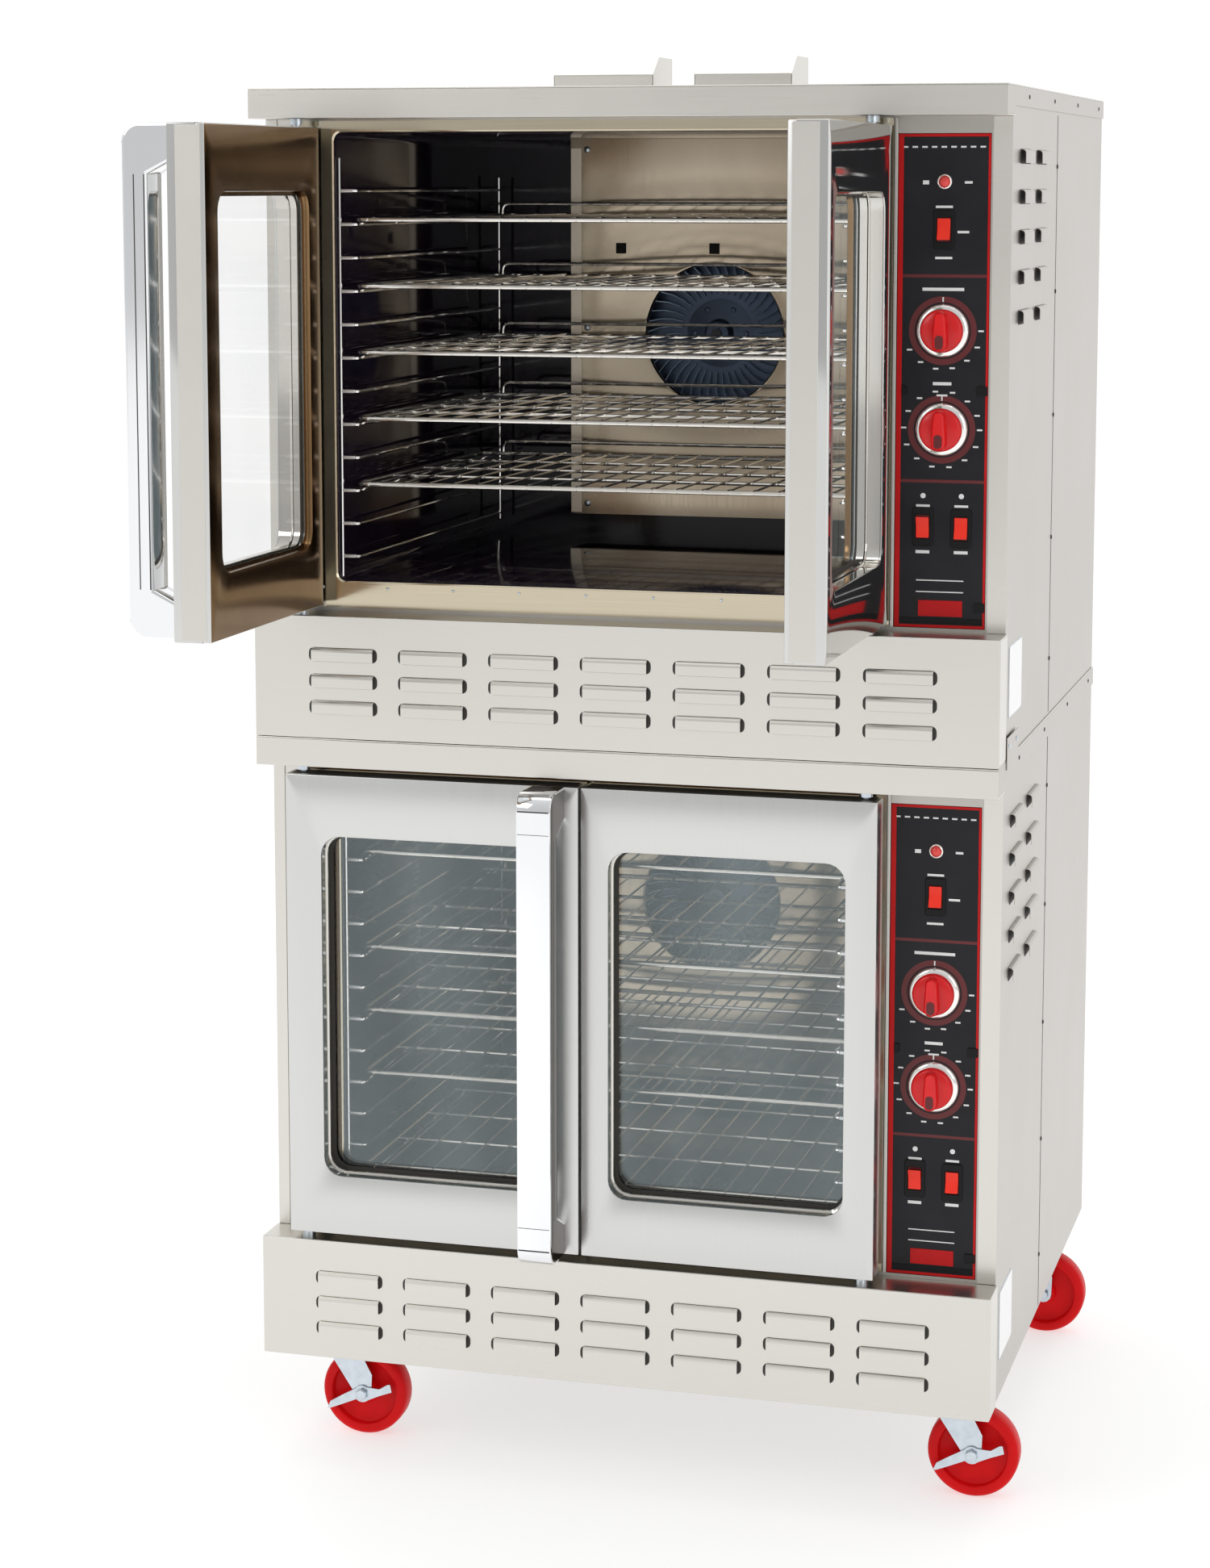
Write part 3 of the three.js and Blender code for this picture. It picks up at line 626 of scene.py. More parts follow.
def top_cap(deck):
    """The lid, its deep front lip and its ends, with the flue boxes on the upper deck."""
    x0, x1, _, _, _, z1 = deck.box("top_cap")
    cap = Sketch()
    cap.box(x0, x1, -BOW, deck.depth, LID_Z - SHEET, LID_Z)
    cap.box(x0, x1, -BOW, -BOW + SHEET, CAP_Z, LID_Z - SHEET)
    cap.box(x0, x1, -BOW + SHEET, -0.3, CAP_Z, CAP_Z + SHEET)
    ends = Sketch()
    for a, b in ((x0, x0 + SHEET), (x1 - SHEET, x1)):
        ends.box(a, b, -BOW + SHEET, -0.3, CAP_Z + SHEET, LID_Z - SHEET)
        ends.box(a, b, -0.3, deck.depth, LID_Z - FLANGE, LID_Z - SHEET)
    deck.build(ends, "cap_ends", SIDE_STEEL, bevel=0.3)
    deck.build(cap, "cap", STEEL, bevel=0.9, replaces=["top_cap"])
    hinge_pins(deck, "top", CAP_Z - 19, CAP_Z + 1)
    if z1 > LID_Z + 5:
        flue_boxes(deck, LID_Z, z1)


def flue_boxes(deck, lid, top):
    """Two folded sheet flue outlets with a sloped, open-topped throat."""
    front, back, wall = 741, 859, 1.5
    brow, crest = lid + 40, front + 37  # where the slope starts and ends
    for name, x0, x1 in (("left", -318, -160), ("right", -95, 57)):
        flue = Sketch()
        side = [(front, lid), (front, brow), (crest, top), (back, top), (back, lid)]
        for a, b in ((x0, x0 + wall), (x1 - wall, x1)):
            flue.prism(side, "X", a, b)
        flue.box(x0, x1, front, front + wall, lid, brow)
        flue.box(x0, x1, back - wall, back, lid, top)
        slope = [(front, brow - 1), (crest, top - 1), (crest, top), (front, brow + 1)]
        flue.prism(slope, "X", x0, x1)
        flue.box(x0 - 12, x1 + 12, front - 12, back + 10, lid - 0.2, lid + 1.2)
        deck.build(flue, f"{name}_flue", STEEL, bevel=0.5)
        # A dark plate down in the open throat: painted shade of the flue's inside.
        throat = Sketch().box(x0 + 3, x1 - 3, crest + 3, back - 3, lid + 30, lid + 31)
        deck.build(throat, f"{name}_flue_throat", GAP_SHADE)


def hinge_pins(deck, where, z0, z1):
    """The pins both doors hang on, each with a collar at the panel it stands in."""
    for side in ("left", "right"):
        pin = deck.axis(f"{side}_door_hinge")
        centre = (pin.x, pin.y, 0)
        if where == "top":
            profile, collar = [(3.6, z0), (4.8, z0 + 1.5), (4.8, z1)], (z1 - 9, z1 - 1)
        else:
            profile, collar = [(4.8, z0), (4.8, z1 - 1.5), (3.6, z1)], (z0 + 1, z0 + 9)
        pins = Sketch().lathe(centre, "Z", profile, 20)
        pins.ring(centre, "Z", [(5, collar[0]), (9, collar[0]), (9, collar[1]), (5, collar[1])], 24)
        deck.build(pins, f"{side}_{where}_hinge_pin", ZINC)


def louver_panel(deck):
    """The bowed lower panel with its louvers."""
    x0, x1, _, _, z0, _ = deck.box("louver_panel")
    panel = Sketch()
    panel.box(x0, x1, -BOW, -BOW + SHEET, z0, LEDGE_Z)
    panel.box(x0, x1, -BOW + SHEET, -0.3, LEDGE_Z - SHEET, LEDGE_Z)
    panel.box(x0, x1, -BOW + SHEET, -0.3, z0, z0 + SHEET)
    for a, b in ((x0, x0 + SHEET), (x1 - SHEET, x1)):
        panel.box(a, b, -BOW + SHEET, -0.3, z0 + SHEET, LEDGE_Z - SHEET)
    deck.build(panel, "louvered_panel", STEEL, bevel=0.9, replaces=["louver_panel"])
    starts = [-430 + 126.7 * column for column in range(7)]
    tops = [124 - 36 * row for row in range(3)]

    def put(x, z, out):
        return x, -BOW - out, z

    louvers(deck, "", STEEL, starts, tops, (97, 18, 5.5), 0.7, put)
    hinge_pins(deck, "bottom", LEDGE_Z - 1, LEDGE_Z + 18)


# ---- Oven cavity ----
def oven_cavity(deck):
    """The enamelled box with round corners, its lip, and the bright frame round its mouth."""
    wall, lip = 2.6, 13
    inside = ((0, 12, BACK_WALL), (0, 12, BACK_WALL - 1), (0, 12, 8), (1, 13, 4))
    outside = ((lip, 6, 2.4), (lip, 6, 5.2), (wall, 14, 6), (wall, 14, BACK_WALL + wall))
    loops = [grown_loop(CAVITY, *shape) for shape in inside + outside]
    cavity = Sketch().loft(loops, capped=True)
    deck.build(cavity, "cavity", PORCELAIN, smooth=40, replaces=["oven_liner"])
    mouth = [grown_loop(MOUTH, 0, 2, 0.4), grown_loop(MOUTH, 0, 2, -1.4)]
    mouth += [grown_loop(CAVITY, 3, 12, -1.4), grown_loop(CAVITY, 1, 12, 0.4)]
    deck.build(Sketch().loft(mouth, close=True), "mouth_frame", MOUTH_STEEL, smooth=30)
    rivets = Sketch()
    for i in range(9):
        screw_head(rivets, (-430 + 93 * i, -1.3, 199), "Y", 2.2, -1.4)
    deck.build(rivets, "mouth_rivets", ZINC)


def fan_baffle(deck):
    """The plate in front of the blower, with its round inlet, and dark squares of painted shade where its two
    sensor holes are.
    """
    x0, x1, y0, _, z0, z1 = deck.box("fan_baffle")
    spin = deck.axis("blower_spin")
    count = 64
    square = square_loop(x0, x1, z0, z1, spin.x, spin.z, y0, count)
    turned_in = ((5, 0), (2, 0.8), (0, 4), (0, 9), (1.5, 9), (3, 3))
    hole = [circle_at(spin.x, spin.z, INLET + grow, y0 + deep, count) for grow, deep in turned_in]
    behind = [(x, y0 + 1.6, z) for x, _, z in square]
    plate = Sketch().loft([square] + hole + [behind], close=True)
    for a, b in ((x0, x0 + 1.6), (x1 - 1.6, x1)):
        plate.box(a, b, y0 + 1.6, BACK_WALL - 0.4, z0, z1)
    deck.build(plate, "baffle", BAFFLE_STEEL, smooth=30, replaces=["fan_baffle"])
    # The fold strip's light colour is a painted highlight.
    fold = Sketch().box(x0 + 0.5, x0 + 17, y0 - 0.8, y0 - 0.1, z0 + 2, z1 - 14)
    deck.build(fold, "baffle_fold_highlight", BAFFLE_FOLD_HIGHLIGHT, bevel=0.3)
    fittings = Sketch()
    for x in (x0 + 26, x1 - 14):
        for z in (z0 + 16, (z0 + z1) / 2, z1 - 16):
            screw_head(fittings, (x, y0, z), "Y", 5.0, -2.2)
    deck.build(fittings, "baffle_screws", ZINC)
    # The sensor holes are not cut: dark squares on the plate are painted shade.
    holes = Sketch()
    for offset in SENSOR_HOLES:
        holes.box(spin.x + offset - 8, spin.x + offset + 8, y0 - 0.4, y0 - 0.05, 640, 656)
    deck.build(holes, "baffle_sensor_hole_shades", GAP_SHADE)
    blower_wheel(deck, spin)


def square_loop(x0, x1, z0, z1, cx, cz, y, count):
    """A rectangle's outline with its points in line with a circle's, as seen from (cx, cz)."""
    loop = []
    for turn in circle_angles(count):
        dx, dz = cos(turn), sin(turn)
        reach = []
        if abs(dx) > 1e-9:
            reach.append(((x1 if dx > 0 else x0) - cx) / dx)
        if abs(dz) > 1e-9:
            reach.append(((z1 if dz > 0 else z0) - cz) / dz)
        loop.append((cx + dx * min(reach), y, cz + dz * min(reach)))
    for x in (x0, x1):
        for z in (z0, z1):
            nearest = min(range(count), key=lambda k: dist((loop[k][0], loop[k][2]), (x, z)))
            loop[nearest] = (x, y, z)
    return loop


def circle_at(cx, cz, radius, y, count):
    return [(cx + radius * cos(a), y, cz + radius * sin(a)) for a in circle_angles(count)]


def blower_wheel(deck, spin):
    """A squirrel-cage wheel: a back disc, a front rim, many short vanes and a riveted hub."""
    node = "blower_wheel"
    x0, x1, y0, y1, _, _ = deck.box(node)
    radius = (x1 - x0) / 2 - 1
    centre = (spin.x, 0, spin.z)
    wheel = Sketch().lathe(centre, "Y", [(radius, y1 - 2), (radius, y1), (10, y1)], 48)
    wheel.ring(centre, "Y", [(radius - 6, y0), (radius, y0), (radius, y0 + 2), (radius - 6, y0 + 2)], 48)
    wheel.lathe(centre, "Y", [(8, y0 + 9), (17, y0 + 10), (20, y0 + 14), (22, y1 - 8), (52, y1 - 2)], 32)
    for turn in circle_angles(6):
        x, z = spin.x + 40 * cos(turn), spin.z + 40 * sin(turn)
        screw_head(wheel, (x, y1 - 3, z), "Y", 4.5, -3)
    deck.build(wheel, "blower", BLOWER_PAINT, node, smooth=40, replaces=[node])
    vanes = Sketch()
    steps = 4
    for turn in circle_angles(42):
        rows = []
        for k in range(steps + 1):
            r = 60 + (radius - 62) * k / steps
            lean = turn + 0.22 * (k / steps) ** 2
            x, z = spin.x + r * cos(lean), spin.z + r * sin(lean)
            front = y0 + 2 + 26 * (1 - k / steps)
            rows.append([(x, y1 - 2.2, z), (x, front, z)])
        vanes.sheet(rows)
    # The vanes' lighter blue is a painted highlight.
    thicken(deck.build(vanes, "blower_vanes", VANE_HIGHLIGHT_PAINT, node, smooth=40), 1.0)


# ---- Racks ----
def rack_ladders(deck):
    """Bent wire guides on both cavity walls: stubs at the front, long rungs reaching under the racks."""
    wire, inset = 2.2, 2.6
    for side in ("left", "right"):
        x0, x1, y0, y1, _, _ = deck.box(f"{side}_rack_ladder")
        wall, inner, into = (x0, x1, 1) if side == "left" else (x1, x0, -1)
        post_x, run_x = wall + inset * into, inner - inset * into
        ladder = Sketch()
        ladder.rod([(post_x, y0 + inset, 212.5), (post_x, y0 + inset, 779.5)], wire)
        foot, head = REAR_POST
        ladder.rod([(run_x, y1 - inset, foot + 0.5), (run_x, y1 - inset, head - 0.5)], wire)
        stubs = Sketch()
        for i in range(RUNGS):
            z = RUNG_TOP - RUNG_PITCH * i
            corners = [(post_x, y0 + 2.8, z), (run_x, y0 + 2.8, z), (run_x, y1 - 2.8, z)]
            ladder.rod(bend_path(corners, 5), wire)
            stubs.rod([(post_x + 0.5 * into, y0 + 2.7, z), (run_x - 5 * into, y0 + 2.7, z)], 2.65)
        deck.build(ladder, f"{side}_wire_ladder", CHROME, replaces=[f"{side}_rack_ladder"])
        deck.build(stubs, f"{side}_ladder_stubs", BAR_CHROME)


def oven_racks(deck):
    """Welded wire racks: a heavy border, fine wires front to back, cross bars and a back stop."""
    border, bar, fine, wires = 3.4, 2.6, 1.6, 19  # three radii and a count
    for number in range(1, 6):
        node = f"rack_{number}"
        x0, x1, y0, y1, z0, z1 = deck.box(node)
        left, right, front, rear = x0 + border, x1 - border, y0 + border, y1 - border
        z = z0 + border + 0.1
        rack = Sketch()
        corners = [(x0 + 20, front), (right, front), (right, rear)]
        corners += [(left, rear), (left, front), (x0 + 21, front)]
        rack.rod(bend_path([(x, y, z) for x, y in corners], 9), border, 10)
        for i in range(1, wires + 1):
            x = x0 + (x1 - x0) * i / (wires + 1)
            path = [(x, y0 + 1.7, z - 2.2), (x, y0 + 1.7, z + 1.4), (x, front, z + 3.0)]
            path += [(x, y, z + 2.4) for y in (front + 14, y1 - 10, y1 - 3)]
            rack.rod(path, fine, 6)
        for share in (0.26, 0.5, 0.74):
            y = y0 + (y1 - y0) * share
            rack.rod([(left, y, z - 0.6), (right, y, z - 0.6)], bar, 8)
        stop = [(x0 + 40, z0 + 3), (x0 + 40, z1 - 3), (x1 - 40, z1 - 3), (x1 - 40, z0 + 3)]
        rack.rod(bend_path([(x, y1 - 3, w) for x, w in stop], 12), bar, 8)
        deck.build(rack, f"wire_rack_{number}", RACK_CHROME, node, replaces=[node])
        flat = Sketch().box(x0 + 6, x1 - 6, y0 + 1.9, front + 2, z0 + 0.4, z0 + 6.2)
        deck.build(flat, f"rack_front_bar_{number}", BAR_CHROME, node, bevel=1.2)


# ---- Doors ----
def door(deck, side):
    """A hollow door: outer skin, deep polished window reveal, brown liner whose brown is a painted warm
    reflection, glass and edges.
    """
    body = f"{side}_door"
    place = deck.door_place(side)
    x0, x1, _, _, z0, z1 = DECKS[0].box(f"{side}_door_shell")
    w0, w1, glass_front, glass_back, v0, v1 = DECKS[0].box(f"{side}_door_glass")
    window = (w0 - 0.3, w1 + 0.3, v0 - 0.3, v1 + 0.3)

    def edge(grow, radius, y, hinge=0):
        """The door's outline, grown, with its hinge edge drawn in further by hinge."""
        left, right = (hinge, 0) if side == "left" else (0, hinge)
        return grown_loop((x0 + left, x1 - right, z0, z1), grow, radius, y)

    def hole(grow, y, rounding=None):
        """The window's outline, grown. Its corners grow as much, unless rounding says otherwise."""
        radius = WINDOW_RADIUS + (grow if rounding is None else rounding)
        return grown_loop(window, grow, radius, y)

    def attach(sketch, name, material, **options):
        deck.build(sketch, f"{body}_{name}", material, body, place, **options)

    def shell(loops, name, material, smooth=30, replaces=()):
        attach(Sketch().loft(loops, close=True), name, material, smooth=smooth, replaces=replaces)

    skin = [edge(-0.4, 1, SKIN_BACK), edge(-0.25, 1.5, SKIN_BACK - 1), edge(-0.25, 1.5, DOOR_FACE + 1.2)]
    skin += [edge(-0.7, 1.5, DOOR_FACE + 0.35), edge(-1.6, 1.2, DOOR_FACE)]
    rolled = ((1.8, 0), (0.7, 0.5), (0.3, 1.6), (0.3, 3), (4, 3))
    skin += [hole(grow, DOOR_FACE + back) for grow, back in rolled] + [hole(4, SKIN_BACK)]
    face = DOOR_SATIN if deck.name == "lower" else DOOR_STEEL
    shell(skin, "skin", face, replaces=[f"{body}_shell"])
    bead = DOOR_FACE + 19
    reveal = [hole(3.6, DOOR_FACE + 3.2), hole(0.2, DOOR_FACE + 3.2, 0), hole(0.2, bead, 0)]
    swell = ((-1.6, 0.8), (-2.4, 2.2), (-1.6, 3.6), (-0.4, 4.4))
    reveal += [hole(grow, bead + back) for grow, back in swell]
    reveal += [hole(grow, glass_front - 1.6) for grow in (-0.4, 3.6)]
    shell(reveal, "window_reveal", REVEAL_STEEL, 35)
    gasket = [hole(0, glass_front - 1.5), hole(-4.5, glass_front - 1.3)]
    gasket += [hole(-5.2, glass_front - 0.2, -5), hole(0, glass_front - 0.2)]
    shell(gasket, "window_gasket", SHADOW_SLOT)
    bevelled = 11.6  # how far the hinge edge is drawn in at the door's back
    rim = [edge(grow, 2, SKIN_BACK + 0.3, 0.6) for grow in (-3, -0.8)]
    rim += [edge(-0.8, 2, DOOR_BACK - 1.8, bevelled - 0.7)]
    rim += [edge(grow, 2, DOOR_BACK - 0.5, bevelled) for grow in (-1.6, -3)]
    shell(rim, "rim", DOOR_SATIN, 35)
    liner = [edge(-1.7, 2, DOOR_BACK - 2, bevelled - 0.4), edge(-1.7, 2, DOOR_BACK - 0.4, bevelled)]
    liner += [edge(-3, 2, DOOR_BACK, bevelled), hole(4, DOOR_BACK), hole(1.2, DOOR_BACK - 0.8)]
    liner += [hole(0.2, DOOR_BACK - 2.6, 0), hole(0.2, glass_back + 0.6, 0)]
    liner += [hole(-4, glass_back + 0.5), hole(-4, glass_back + 0.2)]
    liner += [hole(5, glass_back + 0.2, 4), hole(6, SKIN_BACK + 0.3, 4)]
    shell(liner, "liner", LINER_STEEL, 35)
    pane = [hole(-0.8, glass_front + 0.1, -1), hole(-0.5, glass_front + 0.4, -1)]
    pane += [hole(-0.5, glass_back - 0.4, -1), hole(-0.8, glass_back - 0.1, -1)]
    solid = Sketch().loft(pane, capped=True)
    attach(solid, "pane", GLASS, smooth=30, replaces=[f"{body}_glass"])
    rivets = Sketch()
    for i in range(5):
        z = z0 + 20 + (z1 - z0 - 40) * i / 4
        for x in (x0 + 19, x1 - 19):
            screw_head(rivets, (x, DOOR_BACK - 0.2, z), "Y", 2.0, 0.19)
    attach(rivets, "rivets", ZINC)
    free, inward = (x1, -1) if side == "left" else (x0, 1)
    strip = Sketch().box(*sorted((free, free + inward * 2)), -46, -13, z0 + 3, z1 - 3)
    attach(strip, "edge_strip", STEEL, bevel=0.6)
    ends = Sketch()
    for low, high in ((z0 + 0.05, z0 + 0.5), (z1 - 0.5, z1 - 0.05)):
        ends.box(x0 + 6, x1 - 6, -50, SKIN_BACK - 1, low, high)
    attach(ends, "end_gaps", SHADOW_SLOT)


def handle(deck):
    """A full-height polished bar with round ends, side cheeks and two flared brackets."""
    x0, x1, y0, y1, z0, z1 = DECKS[0].box("door_handle")
    bar, radius, bracket, slant = 34, 24, 45, 18
    foot, head = z0 + bracket, z1 - bracket  # where the brackets start to flare into the bar

    def profile(grow):
        """The handle seen from the side, shrunk by grow along its outline."""
        near = y1 - grow * 0.2
        inside = y0 + bar - grow
        middle = y0 + 0.3 + radius
        points = [(near, z0 + grow), (near, foot - grow)]
        points += [(inside, foot + slant - grow), (inside, head - slant + grow)]
        points += [(near, head + grow), (near, z1 - grow)]
        points += arc(middle, z1 - radius, radius - grow, 90, 180, 9)
        points += arc(middle, z0 + radius, radius - grow, 180, 270, 9)
        return points

    rides = {"rides": "left_door", "place": deck.door_place("left")}
    rounding = ((0.4, 2.2), (1.0, 0.7), (2.4, 0))  # depth in from each side, and how far it shrinks
    stations = [(x0 + d, grow) for d, grow in rounding] + [(x1 - d, grow) for d, grow in reversed(rounding)]
    loops = [[(x, y, z) for y, z in profile(grow)] for x, grow in stations]
    grip = Sketch().loft(loops, capped=True)
    deck.build(grip, "handle", HANDLE_STEEL, smooth=40, replaces=["door_handle"], **rides)
    cheeks = Sketch()
    for a, b in ((x0 + 0.05, x0 + 0.5), (x1 - 0.5, x1 - 0.05)):
        cheeks.prism(profile(3.4), "X", a, b)
    # On the lower deck the cheeks take the near-black steel: painted shade on the handle's side.
    cheek = CHEEK_SHADE_STEEL if deck.name == "lower" else HANDLE_STEEL
    deck.build(cheeks, "handle_cheeks", cheek, smooth=30, **rides)
    joints = Sketch()
    for y in (y0 + bar * 0.45, y0 + bar - 5):
        for a, b in ((x0 + 0.01, x0 + 0.3), (x1 - 0.3, x1 - 0.01)):
            joints.box(a, b, y, y + 1.6, foot + slant, head - slant)
    for inset, half in ((23.3, 0.9), (54, 0.35)):
        for z in (z0 + inset, z1 - inset):
            joints.box(x0 + 2.4, x1 - 2.4, y0 + 0.05, y0 + 0.6, z - half, z + half)
    deck.build(joints, "handle_joints", SHADOW_SLOT, **rides)
    hollow_shade = Sketch()
    for z in (z0, z1):
        hollow_shade.box(x0 + 5, x0 + 32, y0 + radius + 4, y1 - 3, z - 0.3, z + 0.3)
    deck.build(hollow_shade, "handle_hollows", SHADOW_SLOT, **rides)


# ---- Controls ----
def panel(deck):
    """The charcoal control face with its red border, printed bands, painted reflection rings round the knobs,
    latches, prints and lamp.
    """
    x0, x1, _, _, z0, z1 = deck.box("control_panel")
    a, b = x0 + 6.8, x1 - 3.4  # inside the red border
    face = PANEL_FACE
    raised, printed = face - 0.9, face - 0.12
    plate = Sketch().box(x0, x1, face, face + 3, z0, z1)
    deck.build(plate, "control_face", CHARCOAL, bevel=0.4, replaces=["control_panel"])
    trim = Sketch()
    trim.box(x0 + 0.2, a, raised, face, z0 + 4, z1 - 0.3)
    trim.box(b, x1 - 0.2, raised, face, z0 + 4, z1 - 0.3)
    trim.box(a, b, raised, face, z1 - 4, z1 - 0.3)
    trim.box(x0 + 0.2, x1 - 0.2, raised, face, z0 + 0.3, z0 + 4)
    deck.build(trim, "red_border", RED_TRIM, bevel=0.3)
    bands = Sketch()
    for z in (627, 363):
        bands.box(a, b, printed, face, z - 2, z + 2)
    # Dark red rings round the knobs: painted reflection of the red knobs in the glossy face.
    for z in KNOB_Z.values():
        ring = [(36.4, printed), (44, printed), (44, face), (36.4, face)]
        bands.ring((KNOB_X, 0, z), "Y", ring, 64)
    deck.build(bands, "maroon_bands_and_knob_reflections", PRINT_SHADE_REFLECTION_RED)
    latches = Sketch().box(a, b, face - 1, face, 178, 185)
    for near, far, z in ((463, 477, 480), (463, 477, 200), (x0 + 7.5, x0 + 14, 480)):
        latches.box(near, far, face - 2.4, face, z - 6, z + 6)
    deck.build(latches, "panel_latches", BLACK, bevel=0.6)
    badge = Sketch().box(390, 448, raised, face, 187, 208)
    deck.build(badge, "blank_badge", RED_TRIM, bevel=0.5)
    panel_prints(deck)
    lamp(deck)


def panel_prints(deck):
    """Dial ticks, and plain bars where captions go."""
    face = PANEL_FACE
    marks = Sketch()

    def bar(x, z, width, height):
        marks.box(x - width / 2, x + width / 2, face - 0.14, face, z - height / 2, z + height / 2)

    for i in range(9):
        bar(367 + 12.5 * i, 791, 7, 2.2)
    bar(394, 746, 8, 5)
    bar(449, 746, 10, 3)
    ticks = 49.5  # radius
    for use, turns in (("timer", range(0, -151, -25)), ("thermostat", range(0, -360, -26))):
        for degrees in turns:
            turn = radians(degrees)
            bar(KNOB_X + ticks * cos(turn), KNOB_Z[use] + ticks * sin(turn), 7, 2.2)
        marks.box(KNOB_X - 0.9, KNOB_X + 0.9, face - 0.16, face, KNOB_Z[use] + 37, KNOB_Z[use] + 43)
    captions = [(KNOB_X, 715, 22, 3), (KNOB_X, 650, 22, 3), (443, 683, 15, 3)]
    captions += [(KNOB_X, 610, 54, 4), (KNOB_X, 489, 24, 4), (KNOB_X, 474, 14, 2.4)]
    captions += [(x, 331, 18, 3) for x in SWITCH_X] + [(x, 271, 18, 4) for x in SWITCH_X]
    captions += [(KNOB_X, 234, 62, 1.4), (KNOB_X, 219, 62, 1.4)]
    for caption in captions:
        bar(*caption)
    for x in SWITCH_X:
        marks.lathe((x, 0, 344), "Y", [(3.4, face), (3.4, face - 0.14)], 20)
    deck.build(marks, "white_prints", PRINT_WHITE)


def lamp(deck):
    """A small red pilot lamp in a bright ring."""
    centre = (KNOB_X, PANEL_FACE, 747)
    bezel = Sketch().ring(centre, "Y", [(7, 0), (10, 0), (9.6, -1.6), (8, -2.4), (7, -1.8)], 32)
    deck.build(bezel, "lamp_ring", CHROME, smooth=50)
    dome = Sketch().lathe(centre, "Y", [(6.9, 0), (6.9, -1.5), (6, -3.6), (3.6, -5.2), (1, -5.8)], 32)
    deck.build(dome, "lamp_lens", LAMP_RED, smooth=60)


def knob(deck, use):
    """A dial knob: chrome skirt, red cap and a flared grip bar, with a dark red patch of painted shade for
    the hollow at its lower end.
    """
    node = f"{use}_knob"
    z = KNOB_Z[use]
    centre = (KNOB_X, 0, z)
    back = PANEL_FACE - 0.3

    def turned(shape):
        return Sketch().lathe(centre, "Y", [(radius, back - out) for radius, out in shape], 64)

    skirt = turned([(31, 0), (34.7, 0), (34.8, 1.2), (32, 4.4), (29, 5.6), (27, 5.6)])
    deck.build(skirt, f"{node}_skirt", CHROME, node, smooth=50, replaces=[node])
    cap = turned([(27.8, 4.5), (27.9, 11), (26.8, 14), (24.5, 15.6), (12, 16.2)])
    deck.build(cap, f"{node}_cap", KNOB_RED, node, smooth=50)

    def grip_loop(grow, depth):
        """The grip seen from the front: narrow above, flared towards the lower end."""
        top = arc(KNOB_X, z + 17.5, 8.2 - grow, 0, 180, 7)
        foot = arc(KNOB_X, z - 16.5, 10.4 - grow, 180, 360, 7)
        return [(x, back - depth, w) for x, w in top + foot]

    loops = [grip_loop(grow, depth) for grow, depth in ((0, 12), (0.4, 24), (1.2, 28), (3, 29.8))]
    grip = Sketch().loft(loops, capped=True)
    deck.build(grip, f"{node}_grip", KNOB_RED, node, smooth=40)
    # The hollow is not cut: a thin dark red patch on the grip's face is painted shade.
    near, far = (
        rounded_loop(KNOB_X - 5.4, KNOB_X + 5.4, z - 23, z - 5, 5, back - depth, 4) for depth in (29.4, 29.95)
    )
    deck.build(Sketch().slab(near, far), f"{node}_hollow", PRINT_SHADE_REFLECTION_RED, node)


def rocker(deck, use, x, z, lean):
    """A red rocker in a black bezel with a deep recess."""
    face = PANEL_FACE
    steps = [(13.5, 25, 3, 0), (13.5, 25, 3, 2.2), (12.6, 24.1, 2.4, 3)]
    steps += [(9.6, 16.2, 1, 3), (9, 15.5, 0.8, 2.2), (9, 15.5, 0.8, 0)]
    bezel = [rounded_loop(x - w, x + w, z - h, z + h, radius, face - out, 3) for w, h, radius, out in steps]
    deck.build(Sketch().loft(bezel, close=True), f"{use}_bezel", BLACK, smooth=30)
    # A dark red plate at the bottom of the recess: painted shade round the paddle.
    well_shade = Sketch().box(x - 9, x + 9, face - 0.4, face - 0.1, z - 15.5, z + 15.5)
    deck.build(well_shade, f"{use}_well", PRINT_SHADE_REFLECTION_RED)
    tilt = Matrix.Translation(Vector((x, 0, z)) * MM) @ Matrix.Rotation(radians(10 * lean), 4, "X")
    half = 14
    section = [(3.4, -10), (3.4, 10), (-4.3, half), (-3.2, half / 2)]
    section += [(-2.1, 0), (-3.2, -half / 2), (-4.3, -half)]
    paddle = Sketch().prism(section, "X", -8.4, 8.4)
    deck.build(paddle, f"{use}_paddle", ROCKER_RED, use, deck.place @ tilt, bevel=0.7, replaces=[use])


# ---- Casters ----
def caster(row, side):
    """A swivel fork of pressed steel, a red wheel with a recessed web and, in front, a brake."""
    node = f"{row}_{side}_caster_wheel"
    roll = Vector(JOINTS[f"{node}_roll"]["pos_m"])
    place = Matrix.Translation(roll)
    radius = (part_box(node)[1].z - roll.z) / MM - 0.02
    half = 17.5  # half the tyre's width
    near = [(18, 8), (radius - 19, 7.5), (radius - 16.5, 9), (radius - 15, half - 1), (radius - 13.5, half)]
    near += [(radius - 6, half), (radius - 2.2, half - 2), (radius - 0.4, half - 6)]
    hub = [(6, 19), (15.5, 19), (17, 17.5), (18.6, 8.5)]
    wheel = Sketch()
    for shape, segments in ((near + [(radius, 0)], 72), (hub, 48)):
        mirrored = [(r, -along) for r, along in reversed(shape) if along]
        wheel.ring((0, 0, 0), "Y", shape + mirrored, segments)
    wheel.build(f"{node}_tyre", WHEEL_RED, place, node, smooth=45, replaces=[node])
    fork(row, side, place)
    if row == "front":
        brake(side, place)


